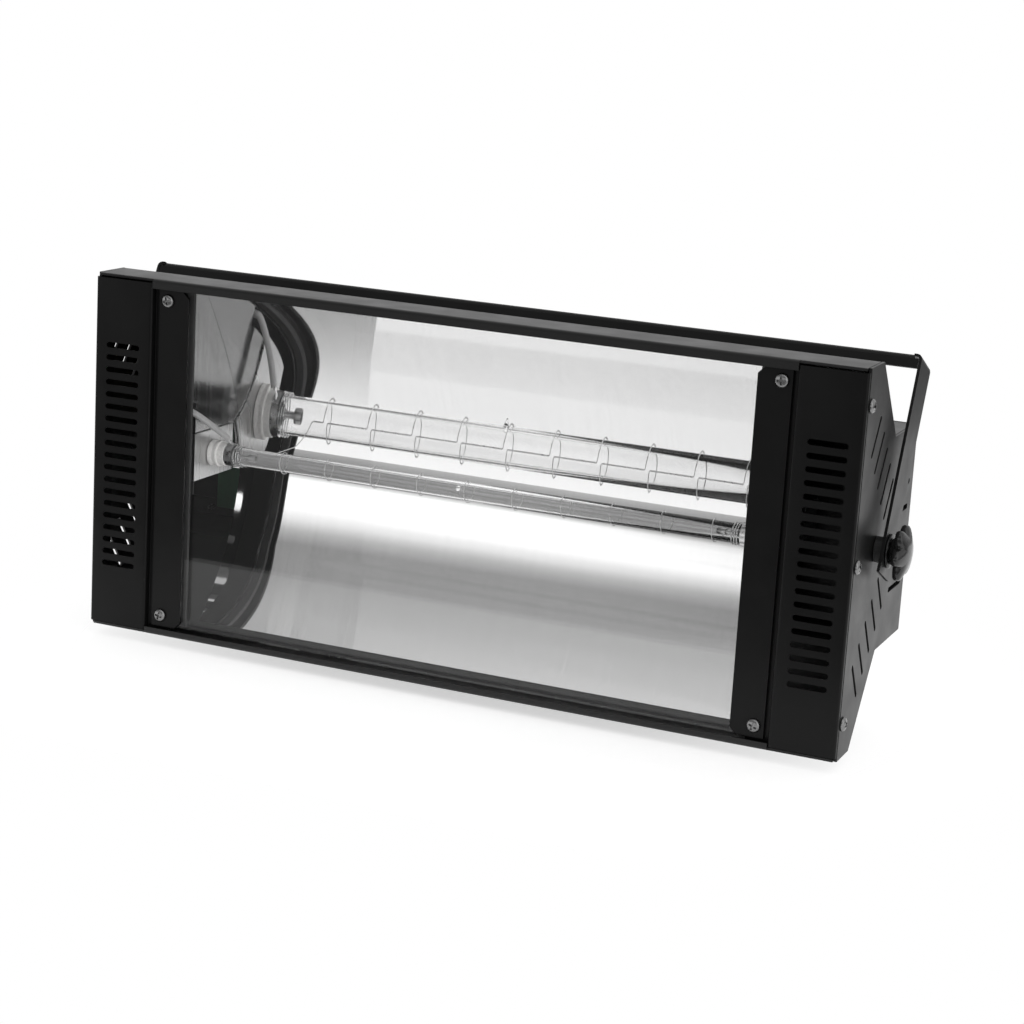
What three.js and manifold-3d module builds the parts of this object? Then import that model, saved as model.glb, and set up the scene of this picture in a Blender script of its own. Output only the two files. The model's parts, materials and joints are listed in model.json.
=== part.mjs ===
// A mains strobe light: sheet-metal housing, glass window, trough reflector with a linear xenon tube, yoke.
// Millimetres, +Z up, +X to the right of someone who faces the window, +Y to the rear.
// The housing is built from its own front bottom edge, and the whole is then shifted to the clamp hole.
import * as THREE from "three";
import { mergeVertices } from "three/addons/utils/BufferGeometryUtils.js";
import Module from "manifold-3d";

const wasm = await Module();
wasm.setup();

// Housing
const housingWidth = 425;
const housingHeight = 194;
const housingDepth = 104;
const topDepth = 26;
const bottomDepth = 23;
const boxBottomShare = 0.2216;
const boxDropShare = 0.2165;
const slopeShare = 0.8333;
const sheet = 1.2;
const sheetBend = 0.8;
const sideSheet = 1.5;
const sideSetback = 3.2;
const topLip = 5;
const bottomLip = 4;
const rearFlange = 11;
const fit = 0.2;
const overrun = 2;

// Front columns and their cooling slots
const columnWidth = 34.8;
const columnSideInset = 0.2;
const columnLip = 2.8;
const columnReturn = 14;
const ledgeDepth = 4.5;
const ledgeWidth = 12.7;
const slotCount = 19;
const slotSideMargin = 7.25;
const slotHeight = 3;
const slotBottomMargin = 36;
const slotTopMargin = 38.1;

// Side vents
const ventCount = 5;
const ventLength = 22.5;
const ventWidth = 2.4;
const ventFirstY = 22.5;
const ventLastGap = 16.6;
const ventInset = 36;
const ventMiddleGap = 24.2;
const ventSlope = 56;
const boxVentCount = 5;
const boxVentLength = 24;
const boxVentWidth = 2.6;
const boxVentPitch = 13.2;
const boxVentInset = 18.5;

// Window
const stripWidth = 17.7;
const stripSideGap = 3;
const stripSheet = 1.5;
const stripFront = 2.7;
const stripChamfer = 3.4;
const glassThickness = 4;
const glassSideGap = 1.2;
const gasketThickness = 2;

// Reflector
const troughSideInset = 6.8;
const troughBackRoom = 41.8;
const troughMouthDepth = 20.2;
const troughEdge = 5;
const troughSheet = 0.8;
const troughSteps = 32;
const troughSoftness = 0.8;
const troughLowering = 0.07;
const lowerBendStart = 0.55;
const lowerBendShare = 0.13;
const endRoom = 4;
const endSheet = 1.2;
const endFlange = 13;
const endPlateReach = 7.5;
const endPlateLow = 13;
const endPlateStep = 14;
const endNotchHeight = 30;
const endTabRise = 24;
const endTabHeight = 14;
const endTabLength = 12;
const lampPlateSheet = 1;
const lampPlateBackInset = 4.2;
const lampPlateHeight = 26;
const lampPlateFront = 18;

// Lamp
const lampShare = 0.475;
const tubeRadius = 5;
const tubeWall = 1.1;
const tubeEndGap = 3.1;
const nibRadius = 1.3;
const nibLength = 2;
const nibLift = 25;
const capRadius = 7.2;
const capStepRadius = 6.3;
const capLength = 9.5;
const capStep = 4;
const capBore = 6;
const capNeckRadius = 5;
const electrodeRadius = 1.1;
const electrodeLength = 22;
const electrodeTip = 1.9;
const electrodeTipLength = 5;
const leadRadius = 1.7;
const leadInset = 3.6;
const leadRise = 26.2;
const lugWidth = 5;
const lugThickness = 0.8;

// Trigger wire
const wireRadius = 0.4;
const wireClearance = 0.3;
const ringCount = 10;
const ringRise = 2.4;
const ringSteps = 24;
const wireSides = 6;
const firstRingInset = 37;
const lastRingInset = 23.3;
const feedOffset = 7;
const feedReach = 4;
const wireCorner = 1.6;
const wireRunLift = 38.5;

// Screws
const screwHeadRadius = 3.6;
const screwHeadHeight = 2;
const crownShare = 0.45;
const screwShank = 1.5;
const screwLength = 12;
const recessWidth = 0.9;
const recessSpan = 3.6;
const recessDepth = 1.2;
const screwSides = 12;
const stripScrewEdge = 5.3;
const stripScrewInset = 11;
const sideScrewY = 7;
const sideScrewInset = 18.5;
const sideScrewLength = 6;
const panelScrewInset = 6;
const panelScrewLength = 7;
const panelScrewSide = 16.5;

// Yoke, clamped on the sides
const pivotY = 41;
const pivotRise = 2;
const yokeLean = 25;
const yokeReach = 98;
const yokeWidth = 22;
const yokeThickness = 1.5;
const yokeGap = 5.2;
const yokeBend = 1.2;
const yokeFoot = 13;
const yokeLip = 7.4;
const yokeLipGap = 0.4;
const yokeNotch = 2.4;
const clampHoleRadius = 5.3;
const studRadius = 4;
const studClearance = 0.3;
const studLength = 26;
const spacerRadius = 6.5;
const washerRadius = 8.5;
const washerThickness = 1;
const insertRadius = 6;
const insertFlange = 8;
const insertFlangeThickness = 1.5;
const insertLength = 12;
const hubRadius = 6.9;
const hubLength = 2.8;
const lobeCircle = 9.4;
const lobeRadius = 4.6;
const lobeCount = 6;
const lobeThickness = 4;
const lobeTurn = 25;
const domeRadius = 12.4;
const domeHeight = 3;
const domeShares = [
  [0.86, 0.5],
  [0.55, 0.86],
];

// Rear panel and what is fixed to it
const panelSheet = 1.2;
const inletSide = 62.5;
const inletWidth = 47;
const inletHeight = 27;
const inletRim = 2.5;
const inletBody = 22;
const inletBodyWidth = 28;
const inletBodyHeight = 20;
const inletWall = 2;
const inletRecess = 17;
const pinWidth = 2;
const pinHeight = 6;
const pinSpacing = 7;
const pinLift = 2;
const fuseStep = 42;
const fuseRadius = 7;
const fuseBodyRadius = 6;
const fuseRim = 2;
const fuseBody = 20;
const fuseBore = 4.2;
const fuseCapRadius = 5.6;
const fuseCapHeight = 5;
const fuseStem = 12;
const fuseStemRadius = 3.9;
const coinSlotWidth = 1.4;
const coinSlotDepth = 1.6;
const jackStep = 32;
const jackPitch = 30;
const jackRadius = 7.5;
const jackRim = 3;
const jackBody = 20;
const jackBodyRadius = 5.5;
const jackBore = 3.3;
const jackDeep = 17;
const knobStep = 38;
const knobPitch = 38;
const controlRadius = 7.5;
const controlHeight = 11;
const controlLift = 1;
const controlTaper = 0.8;
const controlGrips = 10;
const gripRadius = 1;
const gripCircle = 7.8;
const pointerWidth = 1.2;
const pointerHeight = 0.6;
const shaftRadius = 3;
const shaftLength = 9;
const potRadius = 8.5;
const potDepth = 7;
const potBushRadius = 4.5;
const controlBoardWidth = 76;
const controlBoardHeight = 60;
const boardSheet = 1.6;
const boardSideGap = 23.5;
const boardGap = 12;
const boardMargin = 8.5;
const powerBoardStand = 8;
const standRadius = 3;
const standInset = 6;
const capacitorWidth = 42;
const capacitorDepth = 15;
const capacitorHeight = 32;
const capacitorInset = 27;
const capacitorPitch = 50;
const capacitorDrop = 34;
const capacitorRound = 1.5;
const coilGap = 2;
const coilLift = 25;
const coilWidth = 26;
const coilDepth = 14;
const coilHeight = 30;

// Flats round a turned form
const roundSides = 16;
const smoothSides = 18;

// Places worked out from the sizes above: housing
const halfWidth = housingWidth / 2;
const midHeight = housingHeight / 2;
const boxBottom = boxBottomShare * housingHeight;
const boxTop = (1 - boxDropShare) * housingHeight;
const troughDeep = housingDepth - troughBackRoom;
const troughRun = troughDeep - troughMouthDepth;
const upperSlopeEnd = topDepth + slopeShare * troughRun;
const lowerSlopeEnd = bottomDepth + slopeShare * troughRun;
const panelFront = housingDepth - panelSheet;
const panelScrewX = halfWidth - panelScrewSide;
const boxVentY = housingDepth - boxVentInset;
const ventLastY = boxVentY - boxVentLength / 2 - ventLastGap;
const ventStepY = (ventLastY - ventFirstY) / (ventCount - 1);
const ventStepZ = (midHeight - ventInset - ventMiddleGap) / (ventCount - 1);

// Places of the columns and the window
const columnInner = halfWidth - columnWidth;
const columnOuter = halfWidth - columnSideInset;
const ledgeInner = columnInner - ledgeWidth;
const slotCentre = (columnInner + halfWidth) / 2;
const slotLength = columnWidth - 2 * slotSideMargin;
const slotPitch = (housingHeight - slotBottomMargin - slotTopMargin) / (slotCount - 1);
const stripOuter = columnInner - stripSideGap;
const stripInner = stripOuter - stripWidth;
const stripScrewX = stripOuter - stripScrewEdge;
const glassHalf = ledgeInner - glassSideGap;
const stripBack = stripFront + stripSheet;
const glassFront = stripBack + fit;
const glassBack = glassFront + glassThickness;
const gasketBack = glassBack + fit + gasketThickness;
const windowBottom = bottomLip + 4 * fit;
const windowTop = housingHeight - topLip - 2 * fit;

// Places of the reflector and the lamp
const endFront = gasketBack + fit;
const troughHalf = glassHalf - troughSideInset;
const endInner = troughHalf + endRoom;
const endOuter = endInner + endSheet;
const troughRise = midHeight - troughEdge;
const lampPlateBack = troughDeep - lampPlateBackInset;
const lampDepth = lampPlateFront + lampShare * (lampPlateBack - lampPlateFront);
const lampPlateInner = endInner - fit - lampPlateSheet;
const capOuter = lampPlateInner - fit;
const capInner = capOuter - capLength;
const boreEnd = capInner + capBore;
const tubeHalf = boreEnd - tubeEndGap;
const wirePath = tubeRadius + wireClearance + wireRadius;
const wireRunAngle = THREE.MathUtils.degToRad(wireRunLift);
const wireRunY = lampDepth + wirePath * Math.cos(wireRunAngle);
const wireRunZ = midHeight + wirePath * Math.sin(wireRunAngle);
const firstRing = firstRingInset - tubeHalf;
const ringPitch = (tubeHalf - lastRingInset - firstRing) / (ringCount - 1);
const leadPlace = [endFront + leadInset, midHeight + leadRise];

// Places of the yoke and of what is on the rear panel
const pivotZ = midHeight + pivotRise;
const armInner = halfWidth + yokeGap;
const armOuter = armInner + yokeThickness;
const inletX = halfWidth - inletSide;
const fuseX = inletX - fuseStep;
const jackXs = [fuseX - jackStep, fuseX - jackStep - jackPitch];
const knobXs = [jackXs[1] - knobStep, jackXs[1] - knobStep - knobPitch];
const controlBoardMiddle = (knobXs[0] + knobXs[1]) / 2;
const boardBack = panelFront - powerBoardStand;
const powerBoardXs = [boardSideGap - halfWidth, controlBoardMiddle - controlBoardWidth / 2 - boardGap];
const powerBoardZs = [boxBottom + boardMargin, boxTop - boardMargin];
const capacitorXs = [powerBoardXs[0] + capacitorInset, powerBoardXs[0] + capacitorInset + capacitorPitch];
const capacitorZ = boxTop - capacitorDrop;
const coilX = capacitorXs[1] + capacitorWidth / 2 + coilGap + coilWidth / 2;
const coilZ = boxBottom + coilLift;

// Colours, with roughness and metalness
const finishes = {
  blackPaint: [0x1b1b1d, 0.55, 0.1],
  frontPaint: [0x141415, 0.6, 0.1],
  glass: [0xdfe8ea, 0.05, 0],
  rubber: [0x202020, 0.9, 0],
  polished: [0xd8d8d6, 0.15, 1],
  darkAluminium: [0x6c6c6c, 0.35, 1],
  screwSteel: [0xb8b8b8, 0.3, 1],
  ceramic: [0xf2f0ea, 0.6, 0],
  tungsten: [0x8d8c88, 0.4, 1],
  nickelWire: [0xa9a69f, 0.35, 1],
  sleeve: [0xa0a09c, 0.8, 0],
  knobPlastic: [0x101010, 0.25, 0],
  plastic: [0x17171a, 0.5, 0],
  board: [0x1f5a34, 0.6, 0],
  capacitor: [0xb9b08a, 0.5, 0],
  coil: [0x2a2a2c, 0.5, 0],
  plainAluminium: [0xb0b0b0, 0.4, 1],
};

// Booleans: a closed geometry becomes a solid and back
const mergeDistance = 1e-4;
function toSolid(geometry) {
  const plain = geometry.clone();
  plain.deleteAttribute("normal");
  plain.deleteAttribute("uv");
  const merged = mergeVertices(plain, mergeDistance);
  const triVerts = new Uint32Array(merged.index.array);
  const vertProperties = new Float32Array(merged.attributes.position.array);
  return new wasm.Manifold(new wasm.Mesh({ numProp: 3, vertProperties, triVerts }));
}

function toGeometry(solid) {
  const mesh = solid.getMesh();
  const geometry = new THREE.BufferGeometry();
  const position = new Float32Array(mesh.vertProperties);
  geometry.setAttribute("position", new THREE.BufferAttribute(position, 3));
  geometry.setIndex(new THREE.BufferAttribute(new Uint32Array(mesh.triVerts), 1));
  return geometry;
}

function cut(geometry, ...tools) {
  return toGeometry(tools.reduce((left, tool) => left.subtract(toSolid(tool)), toSolid(geometry)));
}

function join(first, ...others) {
  return toGeometry(others.reduce((sum, other) => sum.add(toSolid(other)), toSolid(first)));
}

// Low and high end of a width about a centre
function span(centre, width) {
  return [centre - width / 2, centre + width / 2];
}

// Basic forms. A box is given by its middle in x and its low and high y and z.
function block(width, [y0, y1], [z0, z1], x = 0) {
  const geometry = new THREE.BoxGeometry(width, y1 - y0, z1 - z0);
  return geometry.translate(x, (y0 + y1) / 2, (z0 + z1) / 2);
}

function rod(radius, length, sides = roundSides) {
  return new THREE.CylinderGeometry(radius, radius, length, sides);
}

function rodAlongX(radius, [x0, x1], y, z, sides) {
  return rod(radius, x1 - x0, sides).rotateZ(-Math.PI / 2).translate((x0 + x1) / 2, y, z);
}

function rodAlongY(radius, [y0, y1], x, z, sides) {
  return rod(radius, y1 - y0, sides).translate(x, (y0 + y1) / 2, z);
}

// A turned form about the Y axis. Its outline goes up and starts and ends on the axis.
function turned(points, sides = roundSides) {
  const outline = points.map(([r, h]) => new THREE.Vector2(r, h));
  return new THREE.LatheGeometry(outline, sides);
}

function shapeOf(points, holes = []) {
  const shape = new THREE.Shape(points.map(([a, b]) => new THREE.Vector2(a, b)));
  shape.holes = holes.map((hole) => new THREE.Path(hole.map(([a, b]) => new THREE.Vector2(a, b))));
  return shape;
}

function extruded(points, depth, holes) {
  return new THREE.ExtrudeGeometry(shapeOf(points, holes), { depth, bevelEnabled: false });
}

const alongX = new THREE.Matrix4().makeBasis(
  new THREE.Vector3(0, 1, 0),
  new THREE.Vector3(0, 0, 1),
  new THREE.Vector3(1, 0, 0),
);
const alongY = new THREE.Matrix4().makeBasis(
  new THREE.Vector3(1, 0, 0),
  new THREE.Vector3(0, 0, 1),
  new THREE.Vector3(0, -1, 0),
);

// An outline of [y, z] points carried along X, and one of [x, z] points carried along Y
function profileAlongX(points, [x0, x1], holes) {
  return extruded(points, x1 - x0, holes).applyMatrix4(alongX).translate(x0, 0, 0);
}

function profileAlongY(points, [y0, y1], holes) {
  return extruded(points, y1 - y0, holes).applyMatrix4(alongY).translate(0, y1, 0);
}

function profileAlongZ(points, [z0, z1]) {
  return extruded(points, z1 - z0).translate(0, 0, z0);
}

// Mirrored in the plane x = 0, with its faces turned back out
function mirrored(geometry) {
  const copy = geometry.index ? geometry.clone() : mergeVertices(geometry, mergeDistance);
  copy.scale(-1, 1, 1);
  const index = copy.index.array;
  for (let i = 0; i < index.length; i += 3) [index[i + 1], index[i + 2]] = [index[i + 2], index[i + 1]];
  return copy;
}

// A corner of an outline rounded by an arc
const arcSteps = 3;
function roundedCorner(before, corner, after, radius) {
  const a = new THREE.Vector2(before[0] - corner[0], before[1] - corner[1]).normalize();
  const b = new THREE.Vector2(after[0] - corner[0], after[1] - corner[1]).normalize();
  const turn = Math.PI - Math.acos(THREE.MathUtils.clamp(a.dot(b), -1, 1));
  const reach = radius * Math.tan(turn / 2);
  const start = new THREE.Vector2(corner[0], corner[1]).addScaledVector(a, reach);
  const middle = a.clone().add(b).normalize().multiplyScalar(radius / Math.cos(turn / 2));
  const centre = new THREE.Vector2(corner[0], corner[1]).add(middle);
  const spoke = start.clone().sub(centre);
  const sign = Math.sign(a.cross(b)) || 1;
  return Array.from({ length: arcSteps + 1 }, (_, i) => {
    const angle = (-sign * turn * i) / arcSteps;
    const point = spoke.clone().rotateAround(new THREE.Vector2(), angle).add(centre);
    return [point.x, point.y];
  });
}

function roundedOutline(points, radius) {
  return points.flatMap((corner, i) => {
    const before = points[(i + points.length - 1) % points.length];
    const after = points[(i + 1) % points.length];
    return roundedCorner(before, corner, after, radius);
  });
}

// The outline of a folded sheet. The points follow its outer face, and the sheet lies to their left.
function foldedSheet(points, thickness, bend) {
  const normals = points.slice(1).map(([x, y], i) => {
    const along = new THREE.Vector2(x - points[i][0], y - points[i][1]).normalize();
    return new THREE.Vector2(-along.y, along.x);
  });
  const inner = points.map(([x, y], i) => {
    const before = normals[Math.max(i - 1, 0)];
    const after = normals[Math.min(i, normals.length - 1)];
    const middle = before.clone().add(after).normalize();
    const reach = thickness / middle.dot(before);
    return [x + middle.x * reach, y + middle.y * reach];
  });
  const side = (line, innerSide) =>
    line.flatMap((corner, i) => {
      if (i === 0 || i === line.length - 1) return [corner];
      const left = normals[i - 1].cross(normals[i]) > 0;
      const radius = left === innerSide ? bend : bend + thickness;
      return roundedCorner(line[i - 1], corner, line[i + 1], radius);
    });
  return [...side(points, false), ...side(inner, true).reverse()];
}

// A slot with round ends, as a hole's outline
const slotSteps = 2;
function slot([a, b], length, width, degrees = 0) {
  const reach = (length - width) / 2;
  const turn = THREE.MathUtils.degToRad(degrees);
  const points = [];
  for (const end of [1, -1]) {
    for (let i = 0; i <= slotSteps; i += 1) {
      const angle = -Math.PI / 2 + (Math.PI * i) / slotSteps;
      const p = new THREE.Vector2(reach + (width / 2) * Math.cos(angle), (width / 2) * Math.sin(angle));
      p.multiplyScalar(end).rotateAround(new THREE.Vector2(), turn);
      points.push([a + p.x, b + p.y]);
    }
  }
  return points;
}

function rectangle([a, b], width, height) {
  const [left, right] = span(a, width);
  const [bottom, top] = span(b, height);
  return [
    [left, bottom],
    [right, bottom],
    [right, top],
    [left, top],
  ];
}

function circle([a, b], radius, steps = roundSides) {
  return Array.from({ length: steps }, (_, i) => {
    const angle = (2 * Math.PI * i) / steps;
    return [a + radius * Math.cos(angle), b + radius * Math.sin(angle)];
  });
}

// The scene graph
const strobe = new THREE.Group();
const housing = new THREE.Group();
const yokeGroup = new THREE.Group();
const lean = THREE.MathUtils.degToRad(yokeLean);
strobe.add(housing, yokeGroup);
housing.position.set(0, -pivotY - yokeReach * Math.sin(lean), -pivotZ - yokeReach * Math.cos(lean));
yokeGroup.position.set(0, -yokeReach * Math.sin(lean), -yokeReach * Math.cos(lean));
yokeGroup.rotation.x = -lean;

function add(name, geometry, finish, group = housing) {
  const [color, roughness, metalness] = finishes[finish];
  const material = new THREE.MeshStandardMaterial({ color, roughness, metalness });
  const mesh = new THREE.Mesh(geometry, material);
  mesh.name = name;
  group.add(mesh);
  return mesh;
}

function addPair(name, geometry, finish, group) {
  add(`${name}_right`, geometry, finish, group);
  add(`${name}_left`, mirrored(geometry), finish, group);
}

// Upper and lower shell, each one folded sheet between the side plates
function shells() {
  const half = halfWidth - sideSheet - fit;
  const span = columnInner - fit;
  const upper = [
    [housingDepth - panelSheet - fit, boxTop - rearFlange],
    [housingDepth - panelSheet - fit, boxTop],
    [upperSlopeEnd, boxTop],
    [topDepth, housingHeight],
    [0, housingHeight],
    [0, housingHeight - topLip],
  ];
  const lower = [
    [0, bottomLip],
    [0, 0],
    [bottomDepth, 0],
    [lowerSlopeEnd, boxBottom],
    [housingDepth - panelSheet - fit, boxBottom],
    [housingDepth - panelSheet - fit, boxBottom + rearFlange],
  ];
  const lipCut = (z) =>
    [-1, 1].map((side) => {
      const x = side * ((half + span) / 2 + fit);
      return block(half - span, [-overrun, sheet + fit], z, x);
    });
  const screwHoles = (z) =>
    [-panelScrewX, panelScrewX].map((x) =>
      rodAlongY(screwShank + fit, [housingDepth - 4 * sheet, housingDepth + overrun], x, z),
    );
  const upperZ = [housingHeight - topLip - overrun, housingHeight + overrun];
  const lowerZ = [-overrun, bottomLip + overrun];
  const make = (points, lips, screwZ) =>
    cut(
      profileAlongX(foldedSheet(points, sheet, sheetBend), [-half, half]),
      ...lipCut(lips),
      ...screwHoles(screwZ),
    );
  add("upper_shell", make(upper, upperZ, boxTop - panelScrewInset), "blackPaint");
  add("lower_shell", make(lower, lowerZ, boxBottom + panelScrewInset), "blackPaint");
}

// Side plate with two rows of slanted vents and level vents on the rear box
function sidePlates() {
  const outline = [
    [sideSetback, 0],
    [bottomDepth, 0],
    [lowerSlopeEnd, boxBottom],
    [housingDepth, boxBottom],
    [housingDepth, boxTop],
    [upperSlopeEnd, boxTop],
    [topDepth, housingHeight],
    [sideSetback, housingHeight],
  ];
  const vents = [];
  for (let i = 0; i < ventCount; i += 1) {
    const y = ventFirstY + i * ventStepY;
    const z = housingHeight - ventInset - i * ventStepZ;
    vents.push(slot([y, z], ventLength, ventWidth, ventSlope));
    vents.push(slot([y, housingHeight - z], ventLength, ventWidth, -ventSlope));
  }
  for (let i = 0; i < boxVentCount; i += 1) {
    const z = midHeight + (i - (boxVentCount - 1) / 2) * boxVentPitch;
    vents.push(slot([boxVentY, z], boxVentLength, boxVentWidth));
  }
  const screwHoles = sideScrewHeights().map((z) => circle([sideScrewY, z], screwShank + fit, 8));
  const studHole = circle([pivotY, pivotZ], studRadius + studClearance);
  const openings = [...vents, ...screwHoles, studHole].map((hole) =>
    profileAlongX(hole, [halfWidth - sideSheet - overrun, halfWidth + overrun]),
  );
  const plate = profileAlongX(outline, [halfWidth - sideSheet, halfWidth]);
  addPair("side_plate", cut(plate, ...openings), "blackPaint");
}

function sideScrewHeights() {
  return [sideScrewInset, midHeight, housingHeight - sideScrewInset];
}

function stripScrewHeights() {
  return [stripScrewInset, housingHeight - stripScrewInset];
}

// Front column: slotted face, a flange inside the side plate and a stepped ledge under the clamp strip
function columns() {
  const bottom = sheet + sheetBend + fit;
  const top = housingHeight - bottom;
  const face = foldedSheet(
    [
      [ledgeInner, ledgeDepth],
      [columnInner, ledgeDepth],
      [columnInner, 0],
      [columnOuter, 0],
      [columnOuter, columnLip],
    ],
    sheet,
    fit,
  );
  const flangeX = halfWidth - sideSheet - fit - sheet / 2;
  const flange = block(sheet, [sheet / 2, columnReturn], [bottom, top], flangeX);
  const column = join(profileAlongZ(face, [bottom, top]), flange);
  const slots = [];
  for (let i = 0; i < slotCount; i += 1) {
    const outline = slot([slotCentre, slotBottomMargin + i * slotPitch], slotLength, slotHeight);
    slots.push(profileAlongY(outline, [-overrun, sheet + overrun]));
  }
  const caps = [
    [fit, bottom + sheet],
    [top - sheet, housingHeight - fit],
  ].map((z) => block(columnOuter - columnInner, [0, sheet], z, (columnOuter + columnInner) / 2));
  const stripHoles = stripScrewHeights().map((z) =>
    rodAlongY(screwShank + fit, [ledgeDepth - overrun, ledgeDepth + sheet + overrun], stripScrewX, z),
  );
  const sideHoles = sideScrewHeights().map((z) =>
    rodAlongX(screwShank + fit, [columnOuter - 5 * sheet, columnOuter + overrun], sideScrewY, z),
  );
  addPair("column", cut(join(column, ...caps), ...slots, ...stripHoles, ...sideHoles), "frontPaint");
}

// Glass pane with its clamp strips and gaskets
function windowPieces() {
  const z = [windowBottom, windowTop];
  add("front_glass", block(2 * glassHalf, [glassFront, glassBack], z), "glass");
  const strip = [
    [stripInner + stripChamfer, z[0]],
    [stripOuter, z[0]],
    [stripOuter, z[1]],
    [stripInner + stripChamfer, z[1]],
    [stripInner, z[1] - stripChamfer],
    [stripInner, z[0] + stripChamfer],
  ];
  const holes = stripScrewHeights().map((h) => circle([stripScrewX, h], screwShank + fit, 8));
  addPair("clamp_strip", profileAlongY(strip, [stripFront, stripBack], holes), "frontPaint");
  const gasketWidth = glassHalf - stripInner;
  const gasket = block(gasketWidth, [glassBack + fit, gasketBack], z, stripInner + gasketWidth / 2);
  addPair("glass_gasket", gasket, "rubber");
}

// Pan-head screw with a cross recess, head outwards along -Y
function screw(length) {
  const crown = crownShare * screwHeadHeight;
  const outline = [
    [0, -screwHeadHeight],
    [screwHeadRadius - crown, -screwHeadHeight],
    [screwHeadRadius, -crown],
    [screwHeadRadius, 0],
    [screwShank, 0],
    [screwShank, length],
    [0, length],
  ];
  const depth = [-screwHeadHeight - overrun, -screwHeadHeight + recessDepth];
  const half = recessWidth / 2;
  const span = recessSpan / 2;
  return cut(
    turned(outline, screwSides),
    block(recessSpan, depth, [-half, half]),
    block(recessWidth, depth, [-span, span]),
  );
}

function screws() {
  const stripScrew = screw(screwLength);
  stripScrewHeights().forEach((z, i) => {
    const name = ["lower", "upper"][i];
    const placed = stripScrew.clone().translate(stripScrewX, stripFront - fit, z);
    addPair(`strip_screw_${name}`, placed, "screwSteel");
  });
  const sideScrew = screw(sideScrewLength).rotateZ(Math.PI / 2);
  sideScrewHeights().forEach((z, i) => {
    const name = ["lower", "middle", "upper"][i];
    const placed = sideScrew.clone().translate(halfWidth + fit, sideScrewY, z);
    addPair(`side_screw_${name}`, placed, "screwSteel");
  });
  const panelScrew = screw(panelScrewLength).rotateZ(Math.PI);
  [boxBottom + panelScrewInset, boxTop - panelScrewInset].forEach((z, i) => {
    const name = ["lower", "upper"][i];
    const placed = panelScrew.clone().translate(panelScrewX, housingDepth + fit, z);
    addPair(`panel_screw_${name}`, placed, "screwSteel");
  });
}

// The trough's curve: its depth at a height above or below its middle. It is deepest just below the middle,
// runs nearly straight towards its edges and bends in once more near the lower one.
function troughFace(rise) {
  const place = rise / troughRise;
  const forward = (share) => Math.hypot(share + troughLowering, troughSoftness) - troughSoftness;
  const low = Math.max(0, -place - lowerBendStart) / (1 - lowerBendStart);
  return troughDeep - troughRun * (forward(place) / forward(1) + lowerBendShare * low ** 2);
}

// A point at a distance behind the curve
function troughPoint(rise, offset) {
  const slope = (troughFace(rise - fit) - troughFace(rise + fit)) / (2 * fit);
  const scale = offset / Math.hypot(1, slope);
  return [troughFace(rise) + scale, midHeight + rise + scale * slope];
}

function troughPoints(offset) {
  return Array.from({ length: troughSteps + 1 }, (_, i) =>
    troughPoint(troughRise * (1 - (2 * i) / troughSteps), offset),
  );
}

function reflector() {
  const feedX = firstRing - feedOffset;
  const outline = [...troughPoints(0), ...troughPoints(troughSheet).reverse()];
  const holeDepth = [troughDeep - 4 * overrun, troughDeep + 2 * overrun];
  const hole = rodAlongY(wireRadius + 4 * fit, holeDepth, feedX, wireRunZ, 8);
  const trough = cut(profileAlongX(outline.reverse(), [-troughHalf, troughHalf]), hole);
  add("reflector_trough", trough, "polished");
}

// Reflector end: a plate in the upper half that follows the upper slope, with a notch for the lead,
// a flange behind the clamp strip and a tab that holds the trough from behind
function reflectorEnd() {
  const top = housingHeight - troughEdge;
  const slopeRun = (upperSlopeEnd - topDepth) / (housingHeight - boxTop);
  const slopeFront = topDepth - (sheet + 2 * fit) * Math.hypot(1, slopeRun);
  const back = troughDeep + endPlateReach;
  const low = midHeight - endPlateLow;
  const step = midHeight + endPlateStep;
  const notch = [lampPlateFront + overrun, midHeight + endNotchHeight];
  const plate = [
    [endFront, notch[1]],
    notch,
    [notch[0], low],
    [lampPlateBack + overrun, low],
    [lampPlateBack + overrun, step],
    [back, step],
    [back, housingHeight - (back - slopeFront) / slopeRun],
    [slopeFront + slopeRun * troughEdge, top],
    [endFront, top],
  ];
  const capHole = circle([lampDepth, midHeight], capNeckRadius + fit);
  const end = profileAlongX(plate, [endInner, endOuter], [capHole]);
  const [tabLow, tabHigh] = span(endTabRise, endTabHeight);
  const rises = [tabLow, endTabRise, tabHigh];
  const tabFront = rises.map((rise) => troughPoint(rise, troughSheet + fit));
  const tabBack = rises.map((rise) => troughPoint(rise, troughSheet + fit + endSheet)).reverse();
  const tabXs = [endInner - endTabLength, endInner + endSheet / 2];
  const tab = profileAlongX([...tabFront, ...tabBack].reverse(), tabXs);
  const flangeHoles = stripScrewHeights().map((z) =>
    rodAlongY(screwShank + fit, [endFront - overrun, endFront + endSheet + overrun], stripScrewX, z),
  );
  const flange = block(
    endFlange + endSheet,
    [endFront, endFront + endSheet],
    [windowBottom, windowTop],
    endInner + (endFlange + endSheet) / 2,
  );
  addPair("reflector_end", cut(join(end, flange, tab), ...flangeHoles), "darkAluminium");
}

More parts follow.
